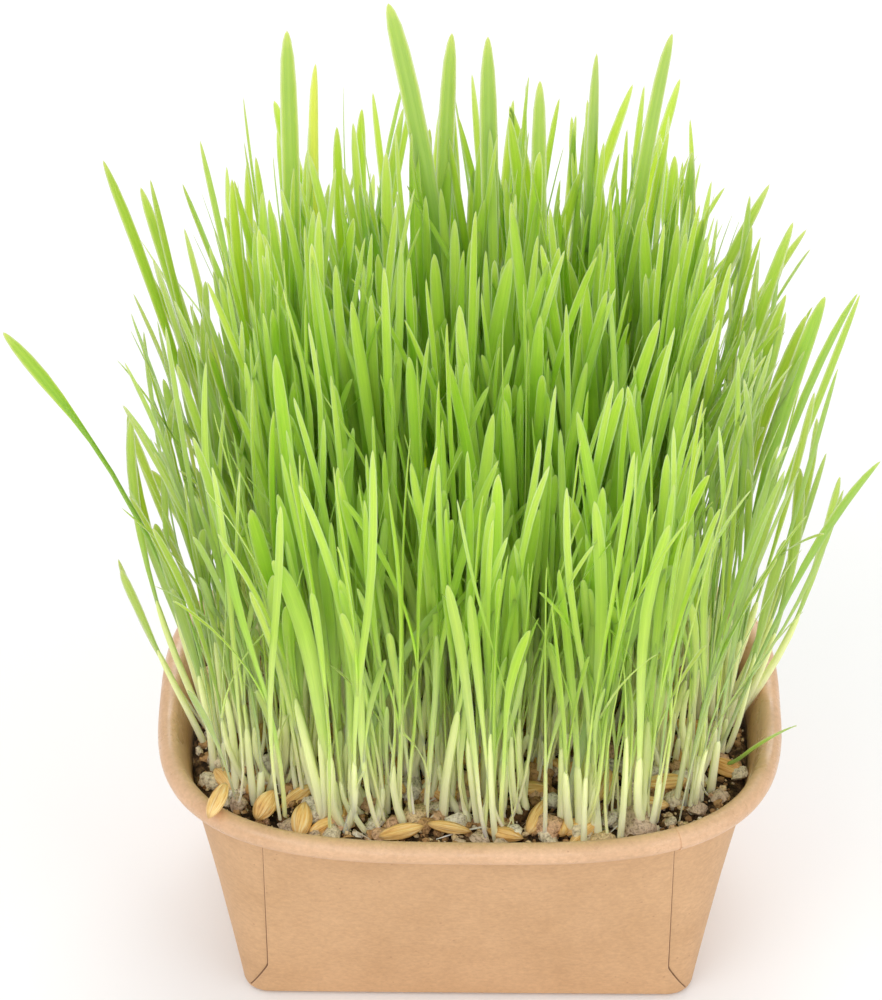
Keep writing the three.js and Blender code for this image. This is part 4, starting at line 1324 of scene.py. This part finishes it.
def scatterRoots(look, blades):
    strand = modelStrand("root_pattern", rootShape)
    draw = numberStream(5113)
    roots = []
    for i in range(medium["roots"]):
        blade = blades[int(draw() * len(blades))]
        x, y = blade["base"][0] + swing(draw, 2), blade["base"][1] + swing(draw, 2)
        angle = draw() * 2 * math.pi
        half = mix(*medium["rootLength"], draw()) * 0.5
        bend = angle + swing(draw, 1.6)
        knee = (x + math.cos(angle) * half, y + math.sin(angle) * half)
        end = (knee[0] + math.cos(bend) * half, knee[1] + math.sin(bend) * half)
        if fillOf(*end, *medium["rootArea"]) > 1:
            continue
        path = {"base": np.array([x, y, groundHeight(x, y) + 0.5]),
                "control": np.array([*knee, groundHeight(*knee) + mix(0.8, 2.6, draw())]),
                "tip": np.array([*end, groundHeight(*end) + 0.1]),
                "facing": angle + math.pi / 2, "twist": 0}
        radius = mix(0.12, 0.28, draw())
        roots.append(layAlong(strand, path, radius, radius, 0, {"tint": draw()}))
    finishPiece(gather("roots", roots), look, (), 80)


# hulled grains

hull = {
    "segments": 30, "rings": 14,
    "height": 0.82, "gap": 0.35, "domeTop": 43.9,
    "rimInner": (-45.6, -31.6, 53.1), "rimOuter": (-48.6, -39.6, 51), "rimWidth": 3.4,
    # the share of the seedlings that still hold their hull, in front of a line and behind it
    "frontFeet": 0.38, "frontTo": -8, "backFeet": 0.2, "besideFoot": 1.9,
}


def modelGrain():
    # a ball drawn out into a pointed hull, with a crease down one side and ribs along it
    nothingSelected()
    bpy.ops.mesh.primitive_uv_sphere_add(
        segments=hull["segments"], ring_count=hull["rings"], radius=1)
    obj = newObject("grain_pattern")
    editWhole()
    bpy.ops.transform.rotate(value=math.pi / 2, orient_axis='Y', center_override=(0, 0, 0))
    bpy.ops.object.mode_set(mode='OBJECT')
    points = np.array([v.co for v in obj.data.vertices])
    x = points[:, 0]
    around = np.arctan2(points[:, 2], points[:, 1])
    radius = np.hypot(points[:, 1], points[:, 2])
    pointed = np.where(x > 0, radius ** 1.7, radius ** 1.2)
    ribs = 1 + 0.085 * np.cos(around * 6 + 0.4) * np.sqrt(radius)
    crease = 1 - 0.2 * np.exp(-((np.abs(around - math.pi / 2) / 0.35) ** 2))
    reach = pointed * ribs * crease
    shaped = np.stack([x, reach * np.cos(around), reach * np.sin(around)], 1)
    placePoints(obj, shaped)
    settle(obj, 0.0001)
    return takeShape(obj)


def makeGrainLook():
    look = newLook("hulled_grain")
    around, along, tint = readValues(look, "around", "along", "tint")
    lines = streakNoise(look, (around, along, tint), (5, 0.3, 57), 3, 4, 0.6)
    body = addRamp(look, lines, [
        (0.28, (0.42, 0.17, 0.03)), (0.42, (0.78, 0.4, 0.09)), (0.56, (0.93, 0.6, 0.2)),
        (0.74, (0.97, 0.8, 0.46))])
    hues = addRamp(look, tint, [(0, (0.8, 0.66, 0.5)), (0.5, (1, 1, 1)), (1, (1.1, 1.12, 1.2))])
    ends = addRamp(look, mathNode(look, 'ABSOLUTE', along), [(0.75, grey(0)), (1, grey(0.7))])
    colour = blendColours(look, blendColours(look, body, hues), (0.42, 0.22, 0.08), ends, 'MIX')
    fine = mathNode(look, 'MULTIPLY', addNoise(look, objectPlace(look), 2600, 3), 0.2)
    addBump(look, mathNode(look, 'ADD', lines, fine), 0.7, 0.0004)
    return coatWith(look, colour, {"Roughness": 0.36})


def layGrain(shape, middle, heading, pitch, roll, length, width, tint):
    points = shape["points"] * (length / 2, width / 2, width / 2 * hull["height"])
    around = np.arctan2(shape["points"][:, 2], shape["points"][:, 1]) / math.pi
    placed = turned(points, math.radians(heading), -math.radians(pitch), roll)
    if middle[2] is None:
        lift = hull["domeTop"] + hull["gap"] - placed[:, 2].min() - 0.5
        middle = (middle[0], middle[1], lift)
    return {"points": placed + np.array(middle), "faces": shape["faces"],
            "values": {"along": shape["points"][:, 0], "around": np.abs(around), "tint": tint}}


def layGrains(look, blades):
    shape = modelGrain()
    draw = numberStream(808)
    for i, ((x, y), heading, length, width, pitch) in enumerate(looseGrains):
        roll = swing(draw, 1.2)
        copy = layGrain(shape, (x, y, None), heading, pitch, roll, length, width, draw())
        number = f"{i + 1:02d}"
        finishPiece(gather("hull_" + number, [copy]), look, ["grain_" + number], 60)
    inner, outer = np.array(hull["rimInner"]), np.array(hull["rimOuter"])
    along = outer - inner
    length = np.linalg.norm(along)
    heading = math.degrees(math.atan2(along[1], along[0]))
    pitch = math.degrees(math.asin(along[2] / length))
    copy = layGrain(shape, (inner + outer) / 2, heading, pitch, 0.3, length, hull["rimWidth"], 0.8)
    finishPiece(gather("hull_on_rim", [copy]), look, ["grain_on_rim"], 60)
    feet = []
    for blade in blades:
        share = hull["frontFeet"] if blade["base"][1] < hull["frontTo"] else hull["backFeet"]
        if draw() > share or not besideGrains(*blade["base"][:2], 2.4):
            continue
        angle = draw() * 2 * math.pi
        x, y = (blade["base"] + sideStep(angle, hull["besideFoot"]))[:2]
        z = plug["top"] + mix(0.4, 1.2, draw())
        feet.append(layGrain(shape, (x, y, z), math.degrees(angle), swing(draw, 50), draw() * 6,
                             mix(6.5, 8.5, draw()), mix(2.8, 3.6, draw()), draw()))
    finishPiece(gather("hulls_at_feet", feet), look, (), 60)


# the whole scene, stage by stage

setCamera()
setStudio()
print("camera, floor and light are set")
makeTray(makePaper(),
         makeEdgeLook("seam_painted_shadow", 2500, (0.16, 0.075, 0.035), (0.26, 0.13, 0.06), 0.9),
         makeEdgeLook("seam_painted_highlight", 1800, (0.62, 0.38, 0.2), (0.72, 0.46, 0.26), 0.7))
print("tray folded")
tufts = tuftGrid()
for tuft in tufts:
    tuft["inner"] = plugOutline(tuft, -grass["edge"])
blades = sowGrass(tufts)
print("seedlings sown:", len(blades))
makeGround(makeSoilLook())
scatterStones(makeStoneLook())
scatterRoots(makeRootLook(), blades)
print("medium filled")
layGrains(makeGrainLook(), blades)
print("grains laid")
growTufts(tufts, blades, makeLeafLook(), makeSheathLook())
print("grass grown")
